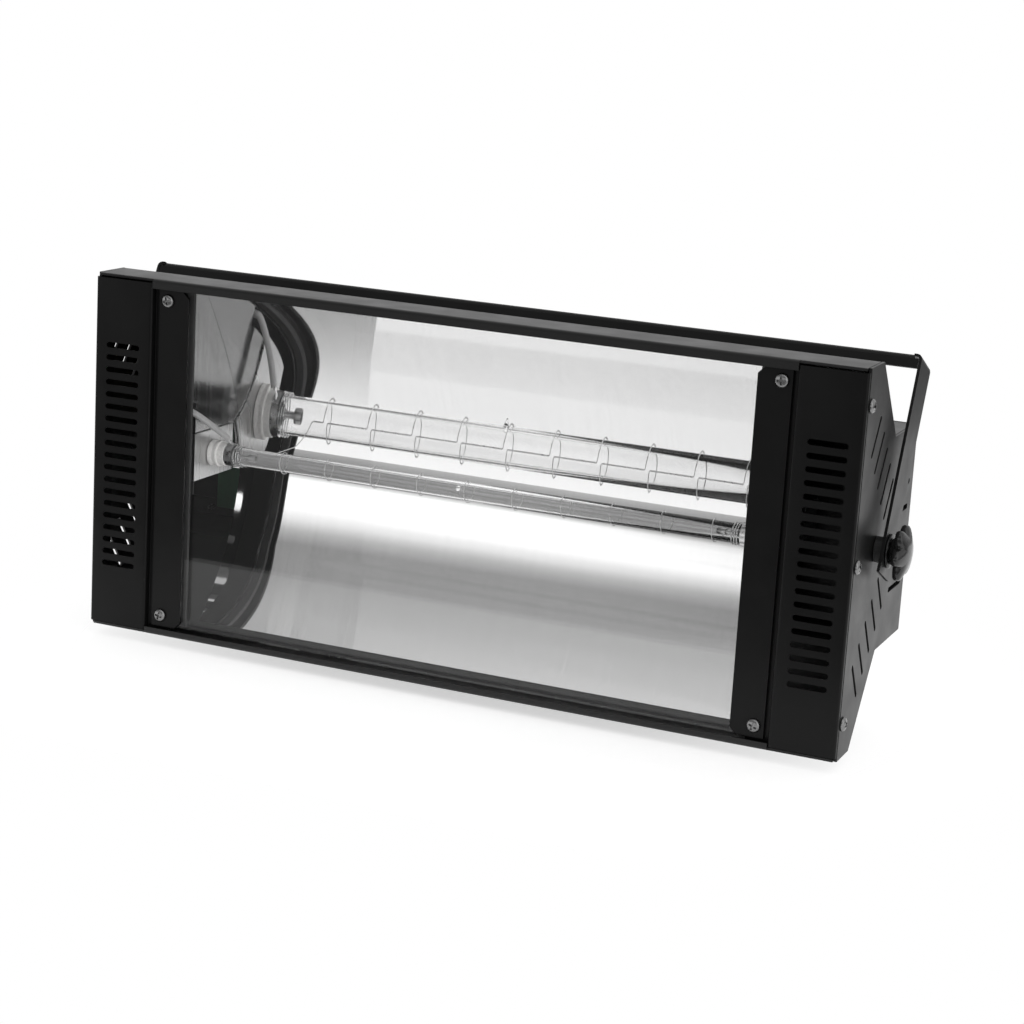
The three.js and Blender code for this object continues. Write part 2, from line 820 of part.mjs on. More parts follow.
// Lamp: plate, ceramic cap and neck, tube with its exhaust nib, electrodes and leads
function lamp() {
  const plateY = [lampPlateFront, lampPlateBack];
  const plateZ = span(midHeight, lampPlateHeight);
  const plate = cut(
    block(lampPlateSheet, plateY, plateZ, lampPlateInner + lampPlateSheet / 2),
    rodAlongX(capNeckRadius + fit, [lampPlateInner - overrun, endOuter], lampDepth, midHeight),
  );
  addPair("lamp_plate", plate, "plainAluminium");
  const cap = turned([
    [0, boreEnd],
    [tubeRadius + fit, boreEnd],
    [tubeRadius + fit, capInner],
    [capStepRadius, capInner],
    [capStepRadius, capInner + capStep],
    [capRadius, capInner + capStep],
    [capRadius, capOuter],
    [capNeckRadius, capOuter],
    [capNeckRadius, endOuter + 2 * endSheet],
    [0, endOuter + 2 * endSheet],
  ]);
  addPair("lamp_cap", cap.rotateZ(-Math.PI / 2).translate(0, lampDepth, midHeight), "ceramic");

  const inside = tubeRadius - tubeWall;
  const tube = join(
    rodAlongX(tubeRadius, [-tubeHalf, tubeHalf], lampDepth, midHeight, smoothSides),
    turned([
      [0, -tubeRadius - nibLength],
      [nibRadius / 2, -tubeRadius - nibLength],
      [nibRadius, -tubeRadius],
      [nibRadius, -inside - tubeWall / 2],
      [0, -inside - tubeWall / 2],
    ], 8).rotateX(-THREE.MathUtils.degToRad(nibLift)).translate(-ringRise * 4, lampDepth, midHeight),
  );
  const boreXs = [-tubeHalf - overrun, tubeHalf + overrun];
  const bore = rodAlongX(inside, boreXs, lampDepth, midHeight, smoothSides);
  add("flash_tube", cut(tube, bore), "glass");

  const electrodeFoot = tubeHalf - electrodeTipLength;
  const electrodeEnd = tubeHalf - electrodeLength;
  const electrode = turned([
    [0, electrodeEnd],
    [electrodeTip / 2, electrodeEnd],
    [electrodeTip, electrodeEnd + electrodeTip / 2],
    [electrodeTip, electrodeEnd + electrodeTipLength],
    [electrodeRadius, electrodeEnd + electrodeTipLength],
    [electrodeRadius, electrodeFoot],
    [inside - fit, electrodeFoot],
    [inside - fit, tubeHalf],
    [0, tubeHalf],
  ], 12);
  addPair("electrode", electrode.rotateZ(-Math.PI / 2).translate(0, lampDepth, midHeight), "tungsten");

  const lugX = capInner - lugWidth / 2 - fit;
  const [leadY, leadZ] = leadPlace;
  const lugRadius = tubeRadius + fit + lugThickness;
  const lugTop = midHeight + lugRadius;
  const lug = join(
    cut(
      rodAlongX(lugRadius, span(lugX, lugWidth), lampDepth, midHeight),
      rodAlongX(tubeRadius + fit, span(lugX, 2 * lugWidth), lampDepth, midHeight),
    ),
    block(lugWidth, span(lampDepth, lugWidth), [lugTop - lugThickness, lugTop + leadRadius], lugX),
  );
  const start = new THREE.Vector3(lugX, lampDepth, lugTop + leadRadius / 2);
  const end = new THREE.Vector3(endOuter + 2 * endSheet, leadY, leadZ);
  const route = [
    start,
    new THREE.Vector3(lugX + 2 * leadRadius, lampDepth - 3 * leadRadius, lugTop + 4 * leadRadius),
    new THREE.Vector3(endInner - 2 * leadRadius, leadY + leadRadius / 2, leadZ - leadRadius / 2),
    new THREE.Vector3(endInner + endSheet, leadY, leadZ),
    end,
  ];
  const lead = toGeometry(toSolid(sweep(new THREE.CatmullRomCurve3(route).getPoints(12), leadRadius, 6)));
  addPair("lamp_lead", join(lug, lead), "sleeve");
}

// A tube along points, closed at both ends, its rings carried round each bend without twist
function sweep(points, radius, sides) {
  const position = [];
  const index = [];
  let normal = null;
  points.forEach((point, i) => {
    const before = points[Math.max(i - 1, 0)];
    const after = points[Math.min(i + 1, points.length - 1)];
    const tangent = new THREE.Vector3();
    if (i > 0) tangent.add(point.clone().sub(before).normalize());
    if (i < points.length - 1) tangent.add(after.clone().sub(point).normalize());
    tangent.normalize();
    if (!normal) {
      normal = Math.abs(tangent.x) < 0.9 ? new THREE.Vector3(1, 0, 0) : new THREE.Vector3(0, 0, 1);
    }
    normal.addScaledVector(tangent, -normal.dot(tangent)).normalize();
    const side = new THREE.Vector3().crossVectors(tangent, normal);
    for (let k = 0; k < sides; k += 1) {
      const angle = (2 * Math.PI * k) / sides;
      const spoke = normal.clone().multiplyScalar(Math.cos(angle)).addScaledVector(side, Math.sin(angle));
      position.push(...spoke.multiplyScalar(radius).add(point).toArray());
    }
  });
  for (let i = 0; i + 1 < points.length; i += 1) {
    for (let k = 0; k < sides; k += 1) {
      const a = i * sides + k;
      const b = i * sides + ((k + 1) % sides);
      index.push(a, b, b + sides, a, b + sides, a + sides);
    }
  }
  const last = (points.length - 1) * sides;
  for (let k = 1; k + 1 < sides; k += 1) {
    index.push(0, k + 1, k);
    index.push(last, last + k, last + k + 1);
  }
  const geometry = new THREE.BufferGeometry();
  geometry.setAttribute("position", new THREE.Float32BufferAttribute(position, 3));
  geometry.setIndex(index);
  return geometry;
}

// The trigger wire: in through the trough, then single rings round the tube joined by a run behind and above it
function triggerPath() {
  const points = [];
  const feedX = firstRing - feedOffset;
  const corner = (from, middle, to) => {
    const a = from.clone().sub(middle).setLength(wireCorner).add(middle);
    const b = to.clone().sub(middle).setLength(wireCorner).add(middle);
    return new THREE.QuadraticBezierCurve3(a, middle, b).getPoints(3);
  };
  const ringPoint = (x, turn) => {
    const angle = wireRunAngle + turn;
    const y = lampDepth + wirePath * Math.cos(angle);
    return new THREE.Vector3(x, y, midHeight + wirePath * Math.sin(angle));
  };
  const feedStart = new THREE.Vector3(feedX, troughDeep + feedReach, wireRunZ);
  const bend = new THREE.Vector3(feedX, wireRunY, wireRunZ);
  points.push(feedStart, new THREE.Vector3(feedX, troughDeep - feedReach, wireRunZ));
  points.push(...corner(feedStart, bend, new THREE.Vector3(firstRing, wireRunY, wireRunZ)));
  for (let ring = 0; ring < ringCount; ring += 1) {
    const x0 = firstRing + ring * ringPitch;
    const run = ring ? ringPitch - ringRise : feedOffset;
    const arriving = new THREE.Vector3(x0 - run / 2, wireRunY, wireRunZ);
    const first = ringPoint(x0, 0);
    const second = ringPoint(x0 + ringRise / ringSteps, (2 * Math.PI) / ringSteps);
    points.push(arriving, ...corner(arriving, first, second).slice(0, 2));
    for (let i = 1; i < ringSteps; i += 1) {
      points.push(ringPoint(x0 + (ringRise * i) / ringSteps, (2 * Math.PI * i) / ringSteps));
    }
    const end = ringPoint(x0 + ringRise, 0);
    const leaving = end.clone().setX(end.x + ringPitch);
    points.push(...corner(points.at(-1), end, leaving).slice(-2));
  }
  points.push(points.at(-1).clone().setX(points.at(-1).x + ringRise));
  return points;
}

// Least gap of the wire to itself: points that lie far apart along it, set against each other
function leastGap(points, radius) {
  const along = [0];
  points.slice(1).forEach((p, i) => along.push(along[i] + p.distanceTo(points[i])));
  const apart = 2 * Math.PI * radius + 2 * radius;
  let least = Infinity;
  points.forEach((p, i) => {
    for (let j = i + 1; j < points.length; j += 1) {
      if (along[j] - along[i] > 2 * apart) least = Math.min(least, p.distanceTo(points[j]) - 2 * radius);
    }
  });
  return least;
}

function triggerWire() {
  const points = triggerPath();
  console.log(`trigger wire: least gap to itself ${leastGap(points, wireRadius).toFixed(2)} mm`);
  add("trigger_wire", sweep(points, wireRadius, wireSides), "nickelWire");
}

// Yoke in its own leaning group: pivot at the origin, arms along Z. A lip stiffens the bar along its front
// edge, and a notch at each end of the lip leaves room for the bend into the arm.
function yoke() {
  const foot = -yokeFoot;
  const u = foldedSheet(
    [
      [armOuter, foot],
      [armOuter, yokeReach],
      [-armOuter, yokeReach],
      [-armOuter, foot],
    ],
    yokeThickness,
    yokeBend,
  );
  const half = yokeWidth / 2;
  const lipHalf = armInner - yokeLipGap;
  const foldHalf = lipHalf - yokeNotch;
  const foldRoom = 2 * (yokeBend + yokeThickness);
  const fold = foldedSheet(
    [
      [-half + foldRoom, yokeReach],
      [-half, yokeReach],
      [-half, yokeReach - yokeLip],
    ],
    yokeThickness,
    yokeBend,
  );
  const room = block(
    2 * foldHalf,
    [-half - overrun, -half + foldRoom / 2],
    [yokeReach - foldRoom, yokeReach + overrun],
  );
  const lip = block(2 * lipHalf, [-half, yokeThickness - half], [yokeReach - yokeLip, yokeReach - yokeNotch]);
  const folded = join(
    cut(profileAlongY(u, [-half, half]), room),
    profileAlongX(fold, [-foldHalf, foldHalf]),
    lip,
  );
  const across = [-armOuter - overrun, armOuter + overrun];
  const studHole = rodAlongX(studRadius + studClearance, across, 0, 0, smoothSides);
  const through = rod(clampHoleRadius, 4 * yokeThickness, smoothSides).rotateX(Math.PI / 2);
  const clampHole = through.translate(0, 0, yokeReach);
  add("yoke", cut(folded, studHole, clampHole), "blackPaint", yokeGroup);
}

// Spacer, washer and threaded insert on each side, and the star knob with its stud
function clamps() {
  const ring = (outer, inner, [x0, x1]) =>
    cut(
      rodAlongX(outer, [x0, x1], pivotY, pivotZ, smoothSides),
      rodAlongX(inner, [x0 - overrun, x1 + overrun], pivotY, pivotZ, smoothSides),
    );
  const bore = studRadius + studClearance;
  addPair("yoke_spacer", ring(spacerRadius, bore, [halfWidth + fit, armInner - fit]), "rubber");
  const washer = [armOuter + fit, armOuter + fit + washerThickness];
  addPair("knob_washer", ring(washerRadius, bore, washer), "screwSteel");
  const insertFace = halfWidth - sideSheet - fit;
  const insert = join(
    rodAlongX(insertFlange, [insertFace - insertFlangeThickness, insertFace], pivotY, pivotZ, smoothSides),
    rodAlongX(insertRadius, [insertFace - insertLength, insertFace], pivotY, pivotZ, smoothSides),
  );
  const boreXs = [insertFace - 2 * insertLength, halfWidth];
  const insertBore = rodAlongX(bore, boreXs, pivotY, pivotZ, smoothSides);
  addPair("threaded_insert", cut(insert, insertBore), "screwSteel");

  const hub = washer[1] + fit;
  const head = hub + hubLength;
  const dome = head + lobeThickness;
  const body = turned([
    [0, hub - studLength],
    [studRadius, hub - studLength],
    [studRadius, hub],
    [hubRadius, hub],
    [hubRadius, head],
    [lobeCircle, head],
    [domeRadius, head + fit],
    [domeRadius, dome],
    ...domeShares.map(([out, up]) => [out * domeRadius, dome + up * domeHeight]),
    [0, dome + domeHeight],
  ], smoothSides);
  const lobes = Array.from({ length: lobeCount }, (_, i) => {
    const angle = (2 * Math.PI * i) / lobeCount + THREE.MathUtils.degToRad(lobeTurn);
    const place = [lobeCircle * Math.sin(angle), lobeCircle * Math.cos(angle)];
    return rodAlongY(lobeRadius, [head, dome], ...place, screwSides);
  });
  const knob = join(body, ...lobes).rotateZ(-Math.PI / 2).translate(0, pivotY, pivotZ);
  addPair("star_knob", knob, "knobPlastic");
}

// Rear panel with openings for the inlet, the fuse holder, the sockets and the control shafts
function rearPanel() {
  const half = halfWidth - sideSheet - 2 * fit;
  const z = [boxBottom + fit, boxTop - fit];
  const holes = [rectangle([inletX, midHeight], inletBodyWidth + 2 * fit, inletBodyHeight + 2 * fit)];
  holes.push(circle([fuseX, midHeight], fuseBodyRadius + fit));
  jackXs.forEach((x) => holes.push(circle([x, midHeight], jackBodyRadius + fit)));
  knobXs.forEach((x) => holes.push(circle([x, midHeight], potBushRadius + fit)));
  for (const x of [-panelScrewX, panelScrewX]) {
    holes.push(circle([x, boxBottom + panelScrewInset], screwShank + fit, 8));
    holes.push(circle([x, boxTop - panelScrewInset], screwShank + fit, 8));
  }
  const outline = rectangle([0, (z[0] + z[1]) / 2], 2 * half, z[1] - z[0]);
  add("rear_panel", profileAlongY(outline, [panelFront, housingDepth], holes), "blackPaint");
}

// Power inlet with a recess and three flat pins
function powerInlet() {
  const face = housingDepth + fit;
  const rim = roundedOutline(rectangle([inletX, midHeight], inletWidth, inletHeight), inletRim);
  const bodyY = [panelFront - inletBody, face + inletRim / 2];
  const body = block(inletBodyWidth, bodyY, span(midHeight, inletBodyHeight), inletX);
  const recessBack = face + inletRim - inletRecess;
  const recess = block(
    inletBodyWidth - 2 * inletWall,
    [recessBack, face + inletRim + overrun],
    span(midHeight, inletBodyHeight - 2 * inletWall),
    inletX,
  );
  const pins = [-1, 0, 1].map((side) => {
    const pinZ = span(midHeight + (side ? -pinLift : pinLift), pinHeight);
    return block(pinWidth, [recessBack - inletWall / 2, face], pinZ, inletX + side * pinSpacing);
  });
  const shell = cut(join(profileAlongY(rim, [face, face + inletRim]), body), recess);
  add("power_inlet", join(shell, ...pins), "plastic");
}

// Fuse holder with its bayonet cap, which has a slot for a coin
function fuse() {
  const face = housingDepth + fit;
  const stemEnd = face + fuseRim - fuseStem;
  const holder = cut(
    join(
      rodAlongY(fuseRadius, [face, face + fuseRim], fuseX, midHeight, smoothSides),
      rodAlongY(fuseBodyRadius, [panelFront - fuseBody, face + fuseRim / 2], fuseX, midHeight, smoothSides),
    ),
    rodAlongY(fuseBore, [stemEnd - overrun, face + fuseRim + overrun], fuseX, midHeight, smoothSides),
  );
  add("fuse_holder", holder, "plastic");
  const capFace = face + fuseRim + fit;
  const outer = capFace + fuseCapHeight;
  const cap = join(
    rodAlongY(fuseCapRadius, [capFace, outer], fuseX, midHeight, smoothSides),
    rodAlongY(fuseStemRadius, [stemEnd, capFace + fit], fuseX, midHeight, smoothSides),
  );
  const coinY = [outer - coinSlotDepth, outer + overrun];
  const coin = block(3 * fuseCapRadius, coinY, span(midHeight, coinSlotWidth), fuseX);
  add("fuse_cap", cut(cap, coin), "plastic");
}

// Remote sockets: a round body behind the panel and a six-sided nut in front
function sockets() {
  const face = housingDepth + fit;
  ["in", "out"].forEach((name, i) => {
    const x = jackXs[i];
    const body = join(
      rodAlongY(jackRadius, [face, face + jackRim], x, midHeight, 6),
      rodAlongY(jackBodyRadius, [panelFront - jackBody, face + jackRim / 2], x, midHeight, smoothSides),
    );
    const boreYs = [face + jackRim - jackDeep, face + jackRim + overrun];
    const bore = rodAlongY(jackBore, boreYs, x, midHeight);
    add(`remote_socket_${name}`, cut(body, bore), "plastic");
  });
}

// Control board with two potentiometers whose bushes pass the panel, and the knobs with their shafts
function controls() {
  const boardFace = panelFront - potDepth - fit;
  const boardZ = span(midHeight, controlBoardHeight);
  const pots = knobXs.flatMap((x) => [
    rodAlongY(potRadius, [boardFace - boardSheet / 2, panelFront - fit], x, midHeight, roundSides),
    rodAlongY(potBushRadius, [boardFace, housingDepth + controlLift], x, midHeight, roundSides),
  ]);
  const low = housingDepth + controlLift + fit;
  const shaftEnd = low - shaftLength;
  const shaftHoles = knobXs.map((x) =>
    rodAlongY(shaftRadius + fit, [shaftEnd - fit, low + overrun], x, midHeight, roundSides),
  );
  const board = block(controlBoardWidth, [boardFace - boardSheet, boardFace], boardZ, controlBoardMiddle);
  add("control_board", cut(join(board, ...pots), ...shaftHoles), "board");
  const names = ["rate_knob", "level_knob"];
  knobXs.forEach((x, i) => {
    const high = low + controlHeight;
    const skirt = turned([
      [0, shaftEnd],
      [shaftRadius, shaftEnd],
      [shaftRadius, low],
      [controlRadius, low],
      [controlRadius - controlTaper, high - controlTaper],
      [controlRadius - 2 * controlTaper, high],
      [0, high],
    ], smoothSides);
    const grips = Array.from({ length: controlGrips }, (_, k) => {
      const angle = (2 * Math.PI * (k + 0.5)) / controlGrips;
      const place = [gripCircle * Math.cos(angle), gripCircle * Math.sin(angle)];
      return rodAlongY(gripRadius, [low + controlTaper, high + overrun], ...place, 6);
    });
    const tip = controlRadius - 2 * controlTaper;
    const pointer = block(pointerWidth, [high - overrun, high + pointerHeight], [0, tip]);
    const knob = join(cut(skirt, ...grips), pointer).translate(x, 0, midHeight);
    add(names[i], knob, "plastic");
  });
}

// Power board on four stands, its two film capacitors and the trigger coil
function power() {
  const front = boardBack - boardSheet;
  const inwards = ([low, high]) => [low + standInset, high - standInset];
  const stands = inwards(powerBoardXs).flatMap((x) =>
    inwards(powerBoardZs).map((z) =>
      rodAlongY(standRadius, [front + boardSheet / 2, panelFront - fit], x, z, 10),
    ),
  );
  const [left, right] = powerBoardXs;
  const board = block(right - left, [front, boardBack], powerBoardZs, (left + right) / 2);
  add("power_board", join(board, ...stands), "board");
  const mount = front - fit;
  capacitorXs.forEach((x, i) => {
    const face = rectangle([x, capacitorZ], capacitorWidth, capacitorHeight);
    const outline = roundedOutline(face, capacitorRound);
    add(`film_capacitor_${i + 1}`, profileAlongY(outline, [mount - capacitorDepth, mount]), "capacitor");
  });
  const coil = join(
    block(coilWidth, [mount - coilDepth, mount], span(coilZ, coilHeight), coilX),
    rodAlongY(coilWidth / 4, [mount - coilDepth - overrun, mount], coilX, coilZ, 16),
  );
  add("trigger_coil", coil, "coil");
}

shells();
sidePlates();
columns();
windowPieces();
screws();
reflector();
reflectorEnd();
lamp();
triggerWire();
yoke();
clamps();
rearPanel();
powerInlet();
fuse();
sockets();
controls();
power();

export default strobe;
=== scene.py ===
"""Looks of the strobe light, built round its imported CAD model. Metres, in the row's frame."""

import json
import math

import bmesh
import bpy
from mathutils import Matrix, Vector

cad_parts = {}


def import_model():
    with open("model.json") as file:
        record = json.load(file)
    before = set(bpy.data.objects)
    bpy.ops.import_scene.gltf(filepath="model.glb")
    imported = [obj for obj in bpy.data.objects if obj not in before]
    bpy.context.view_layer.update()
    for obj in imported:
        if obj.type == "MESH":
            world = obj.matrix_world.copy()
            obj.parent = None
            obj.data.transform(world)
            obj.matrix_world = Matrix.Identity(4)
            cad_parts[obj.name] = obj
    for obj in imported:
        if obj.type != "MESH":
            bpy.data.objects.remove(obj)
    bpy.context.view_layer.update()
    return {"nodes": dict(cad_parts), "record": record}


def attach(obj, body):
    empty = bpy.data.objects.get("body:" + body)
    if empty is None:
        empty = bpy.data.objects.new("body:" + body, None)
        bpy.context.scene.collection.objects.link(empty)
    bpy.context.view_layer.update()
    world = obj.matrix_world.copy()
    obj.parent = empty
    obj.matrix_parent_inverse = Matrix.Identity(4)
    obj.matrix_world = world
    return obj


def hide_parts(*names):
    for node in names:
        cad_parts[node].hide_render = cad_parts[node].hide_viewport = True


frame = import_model()
nodes = frame["nodes"]
record = frame["record"]
BODY = {node: body for body, held in record["behaviour"]["bodies"].items() for node in held}
SLOT = {part["node"]: part["material_slot"] for part in record["subparts"]}
SIDES = {"right": 1, "left": -1}
mm = 0.001

# Camera, fitted to the photograph
CAMERA_AT = Vector((0.4940, -1.1591, 0.1874))
CAMERA_RIGHT = Vector((0.9188, 0.3900, 0.0606))
CAMERA_UP = Vector((-0.1397, 0.1778, 0.9741))
FRAME_PX = 1024
FOCAL_PX = 2395.0
CENTRE_PX = (548.3, 485.7)
SENSOR = 36.0

# Sizes from the part's source, in mm, from the housing's front bottom edge
HALF_WIDTH = 212.5
HEIGHT = 194.0
MIDDLE = 97.0
DEPTH = 104.0
FIT = 0.2
SHEET = 1.2
SIDE_SHEET = 1.5
PIVOT = (41.0, 99.0)
REACH = 98.0
LEAN = math.radians(25)
TROUGH_DEEP = 62.2
TROUGH_RUN = 42.0
TROUGH_RISE = 92.0
TROUGH_HALF = 157.0
TROUGH_SHEET = 0.8
LAMP_Y = 37.0
TUBE = (5.0, 3.9)
CAP_OUTER = 159.6
CAP_INNER = 150.1
TUBE_HALF = 153.0
END_PLATE = 161.0
FLANGE_ROOT = 162.35
HOME = Vector((0, -PIVOT[0] - REACH * math.sin(LEAN), -PIVOT[1] - REACH * math.cos(LEAN)))


def camera():
    data = bpy.data.cameras.new("camera")
    data.sensor_width = SENSOR
    data.lens = FOCAL_PX / FRAME_PX * SENSOR
    data.shift_x = (FRAME_PX / 2 - CENTRE_PX[0]) / FRAME_PX
    data.shift_y = (CENTRE_PX[1] - FRAME_PX / 2) / FRAME_PX
    eye = bpy.data.objects.new("camera", data)
    right = CAMERA_RIGHT.normalized()
    back = right.cross(CAMERA_UP).normalized()
    up = back.cross(right)
    eye.matrix_world = Matrix((right, up, back)).transposed().to_4x4()
    eye.location = CAMERA_AT
    bpy.context.scene.collection.objects.link(eye)
    bpy.context.scene.camera = eye


class Nodes:
    """A material's node tree, with short calls for the nodes used here."""

    def __init__(self, name):
        self.material = bpy.data.materials.new(name)
        self.material.use_nodes = True
        self.tree = self.material.node_tree
        self.shader = self.tree.nodes["Principled BSDF"]
        self.output = self.tree.nodes["Material Output"]
        self.place = self.add("ShaderNodeTexCoord").outputs["Object"]

    def add(self, kind, **values):
        node = self.tree.nodes.new(kind)
        for key, value in values.items():
            setattr(node, key, value)
        return node

    def link(self, source, target):
        self.tree.links.new(source, target)

    def set(self, **values):
        for key, value in values.items():
            self.shader.inputs[key.replace("_", " ")].default_value = value

    def stretched(self, scale):
        mapping = self.add("ShaderNodeMapping")
        mapping.inputs["Scale"].default_value = scale
        self.link(self.place, mapping.inputs["Vector"])
        return mapping.outputs["Vector"]

    def noise(self, scale, detail=2.0, stretch=None):
        noise = self.add("ShaderNodeTexNoise")
        noise.inputs["Scale"].default_value = scale
        noise.inputs["Detail"].default_value = detail
        self.link(self.stretched(stretch) if stretch else self.place, noise.inputs["Vector"])
        return noise.outputs["Fac"]

    def ranged(self, source, low, high):
        spread = self.add("ShaderNodeMapRange")
        spread.inputs["From Min"].default_value = 0.3
        spread.inputs["From Max"].default_value = 0.7
        spread.inputs["To Min"].default_value = low
        spread.inputs["To Max"].default_value = high
        self.link(source, spread.inputs["Value"])
        return spread.outputs["Result"]

    def mixed(self, source, dark, light):
        mix = self.add("ShaderNodeMix", data_type="RGBA")
        mix.inputs["A"].default_value = (*dark, 1)
        mix.inputs["B"].default_value = (*light, 1)
        self.link(source, mix.inputs["Factor"])
        return mix.outputs["Result"]

    def bumped(self, source, distance, strength=1.0):
        bump = self.add("ShaderNodeBump")
        bump.inputs["Distance"].default_value = distance
        bump.inputs["Strength"].default_value = strength
        self.link(source, bump.inputs["Height"])
        self.link(bump.outputs["Normal"], self.shader.inputs["Normal"])


def grey(value, tint=(1, 1, 1)):
    return tuple(value * t for t in tint)


COAT_GRAIN = 1600
COAT_DEPTH = 0.02
METAL_SPREAD = 0.25
QUARTZ_IOR = 1.46
STRAIGHT_MIRROR = 0.035


def powder_coat(name, value, roughness, level):
    """Black powder coat: fine grain, slow drift in shade and gloss."""
    n = Nodes(name)
    n.set(Specular_IOR_Level=level)
    drift = n.noise(14)
    n.link(n.mixed(drift, grey(0.85 * value), grey(1.15 * value)), n.shader.inputs["Base Color"])
    n.link(n.ranged(n.noise(60, 4), roughness - 0.04, roughness + 0.05), n.shader.inputs["Roughness"])
    n.bumped(n.noise(COAT_GRAIN, 3), COAT_DEPTH * mm, 0.35)
    return n.material


def metal(name, value, roughness, stretch=(1, 1, 1), scale=400, depth=0.004):
    """Bare metal with drawn or brushed streaks along the axis that stretch makes long."""
    n = Nodes(name)
    streak = n.noise(scale, 3, stretch)
    n.link(n.mixed(streak, grey(0.85 * value), grey(1.1 * value)), n.shader.inputs["Base Color"])
    low, high = roughness * (1 - METAL_SPREAD), roughness * (1 + METAL_SPREAD)
    n.link(n.ranged(streak, low, high), n.shader.inputs["Roughness"])
    n.set(Metallic=1.0)
    n.bumped(streak, depth * mm, 0.3)
    return n.material


def polished_sheet(name, value, roughness):
    """Bright rolled aluminium: fine streaks down the sheet and slow shallow waves."""
    n = Nodes(name)
    streak = n.noise(700, 3, (1, 0.03, 0.03))
    n.link(n.mixed(streak, grey(0.97 * value), grey(1.03 * value)), n.shader.inputs["Base Color"])
    n.link(n.ranged(streak, 0.8 * roughness, 1.2 * roughness), n.shader.inputs["Roughness"])
    n.set(Metallic=1.0)
    n.bumped(n.noise(9, 1, (1, 0.4, 0.4)), 0.012 * mm, 1.0)
    return n.material


def plastic(name, value, roughness, grain=900, depth=0.01, tint=(1, 1, 1)):
    n = Nodes(name)
    fleck = n.noise(grain, 2)
    n.link(n.mixed(fleck, grey(0.8 * value, tint), grey(1.2 * value, tint)), n.shader.inputs["Base Color"])
    n.link(n.ranged(n.noise(45, 3), 0.85 * roughness, 1.15 * roughness), n.shader.inputs["Roughness"])
    n.bumped(fleck, depth * mm, 0.3)
    return n.material


def tube_quartz(name):
    """Clear fused quartz with a real wall, faintly uneven."""
    n = Nodes(name)
    drift = n.noise(30, 5)
    n.link(n.mixed(drift, grey(0.97), grey(1.0)), n.shader.inputs["Base Color"])
    n.link(n.ranged(drift, 0.0, 0.015), n.shader.inputs["Roughness"])
    n.set(Transmission_Weight=1.0, IOR=QUARTZ_IOR)
    return n.material


def clear_glass(name):
    """Thin clear glass: straight through, and mirrored by its angle."""
    n = Nodes(name)
    n.tree.nodes.remove(n.shader)
    gloss = n.add("ShaderNodeBsdfGlossy")
    n.link(n.ranged(n.noise(30, 5), 0.0, 0.02), gloss.inputs["Roughness"])
    slant = n.add("ShaderNodeLayerWeight").outputs["Facing"]
    steep = n.add("ShaderNodeMath", operation="POWER")
    n.link(slant, steep.inputs[0])
    steep.inputs[1].default_value = 5.0
    mirror = n.add("ShaderNodeMath", operation="MULTIPLY_ADD")
    n.link(steep.outputs["Value"], mirror.inputs[0])
    mirror.inputs[1].default_value = 1 - STRAIGHT_MIRROR
    mirror.inputs[2].default_value = STRAIGHT_MIRROR
    clear = n.add("ShaderNodeBsdfTransparent")
    mix = n.add("ShaderNodeMixShader")
    n.link(mirror.outputs["Value"], mix.inputs["Fac"])
    n.link(clear.outputs["BSDF"], mix.inputs[1])
    n.link(gloss.outputs["BSDF"], mix.inputs[2])
    n.link(mix.outputs["Shader"], n.output.inputs["Surface"])
    return n.material


def materials():
    streak_z = (1, 1, 0.02)
    return {
        "housing_paint": powder_coat("housing_paint", 0.006, 0.4, 0.32),
        # front_paint is a darker, less glossy copy of the housing's powder coat on the front faces: painted
        # shade for the dark side they face
        "front_paint": powder_coat("front_paint", 0.004, 0.33, 0.15),
        "yoke_paint": powder_coat("yoke_paint", 0.005, 0.36, 0.22),
        "window_glass": clear_glass("window_glass"),
        "tube_glass": tube_quartz("tube_glass"),
        "reflector_sheet": polished_sheet("reflector_sheet", 0.9, 0.025),
        "end_plate_sheet": metal("end_plate_sheet", 0.3, 0.14, streak_z, 500, 0.002),
        "lamp_plate_sheet": metal("lamp_plate_sheet", 0.6, 0.3, streak_z, 500, 0.002),
        "lamp_ceramic": plastic("lamp_ceramic", 0.95, 0.5, tint=(1, 0.99, 0.97)),
        "electrode_metal": metal("electrode_metal", 0.45, 0.35),
        "wire_metal": metal("wire_metal", 0.7, 0.3),
        "lead_sleeve": plastic("lead_sleeve", 0.5, 0.8, 2500, 0.08),
        "screw_steel": metal("screw_steel", 0.22, 0.25, scale=900),
        "clamp_steel": metal("clamp_steel", 0.09, 0.35),
        "black_rubber": plastic("black_rubber", 0.045, 0.8),
        "knob_plastic": plastic("knob_plastic", 0.012, 0.18, 500, 0.004),
        "fitting_plastic": plastic("fitting_plastic", 0.02, 0.5),
        "board_laminate": plastic("board_laminate", 0.12, 0.45, tint=(0.3, 1, 0.5)),
        "capacitor_case": plastic("capacitor_case", 0.5, 0.4, tint=(1, 0.85, 0.45)),
        "coil_case": plastic("coil_case", 0.03, 0.4),
    }


# Forms, in mm from the housing's front bottom edge
ALONG_X = Matrix.Rotation(math.pi / 2, 4, "Y")
ALONG_BACK = Matrix.Rotation(-math.pi / 2, 4, "X")
ALONG_FRONT = Matrix.Rotation(math.pi / 2, 4, "X")
SIDEWAYS = Matrix(((0, 0, 1, 0), (1, 0, 0, 0), (0, 1, 0, 0), (0, 0, 0, 1)))


def at(x, y, z, turn=Matrix.Identity(4)):
    return Matrix.Translation((x, y, z)) @ turn


def link_rings(form, low, high):
    count = max(len(low), len(high))
    for i in range(count):
        j = (i + 1) % count
        corners = [low[i % len(low)], low[j % len(low)], high[j % len(high)], high[i % len(high)]]
        face = [v for k, v in enumerate(corners) if v not in corners[:k]]
        if len(face) > 2:
            form.faces.new(face)


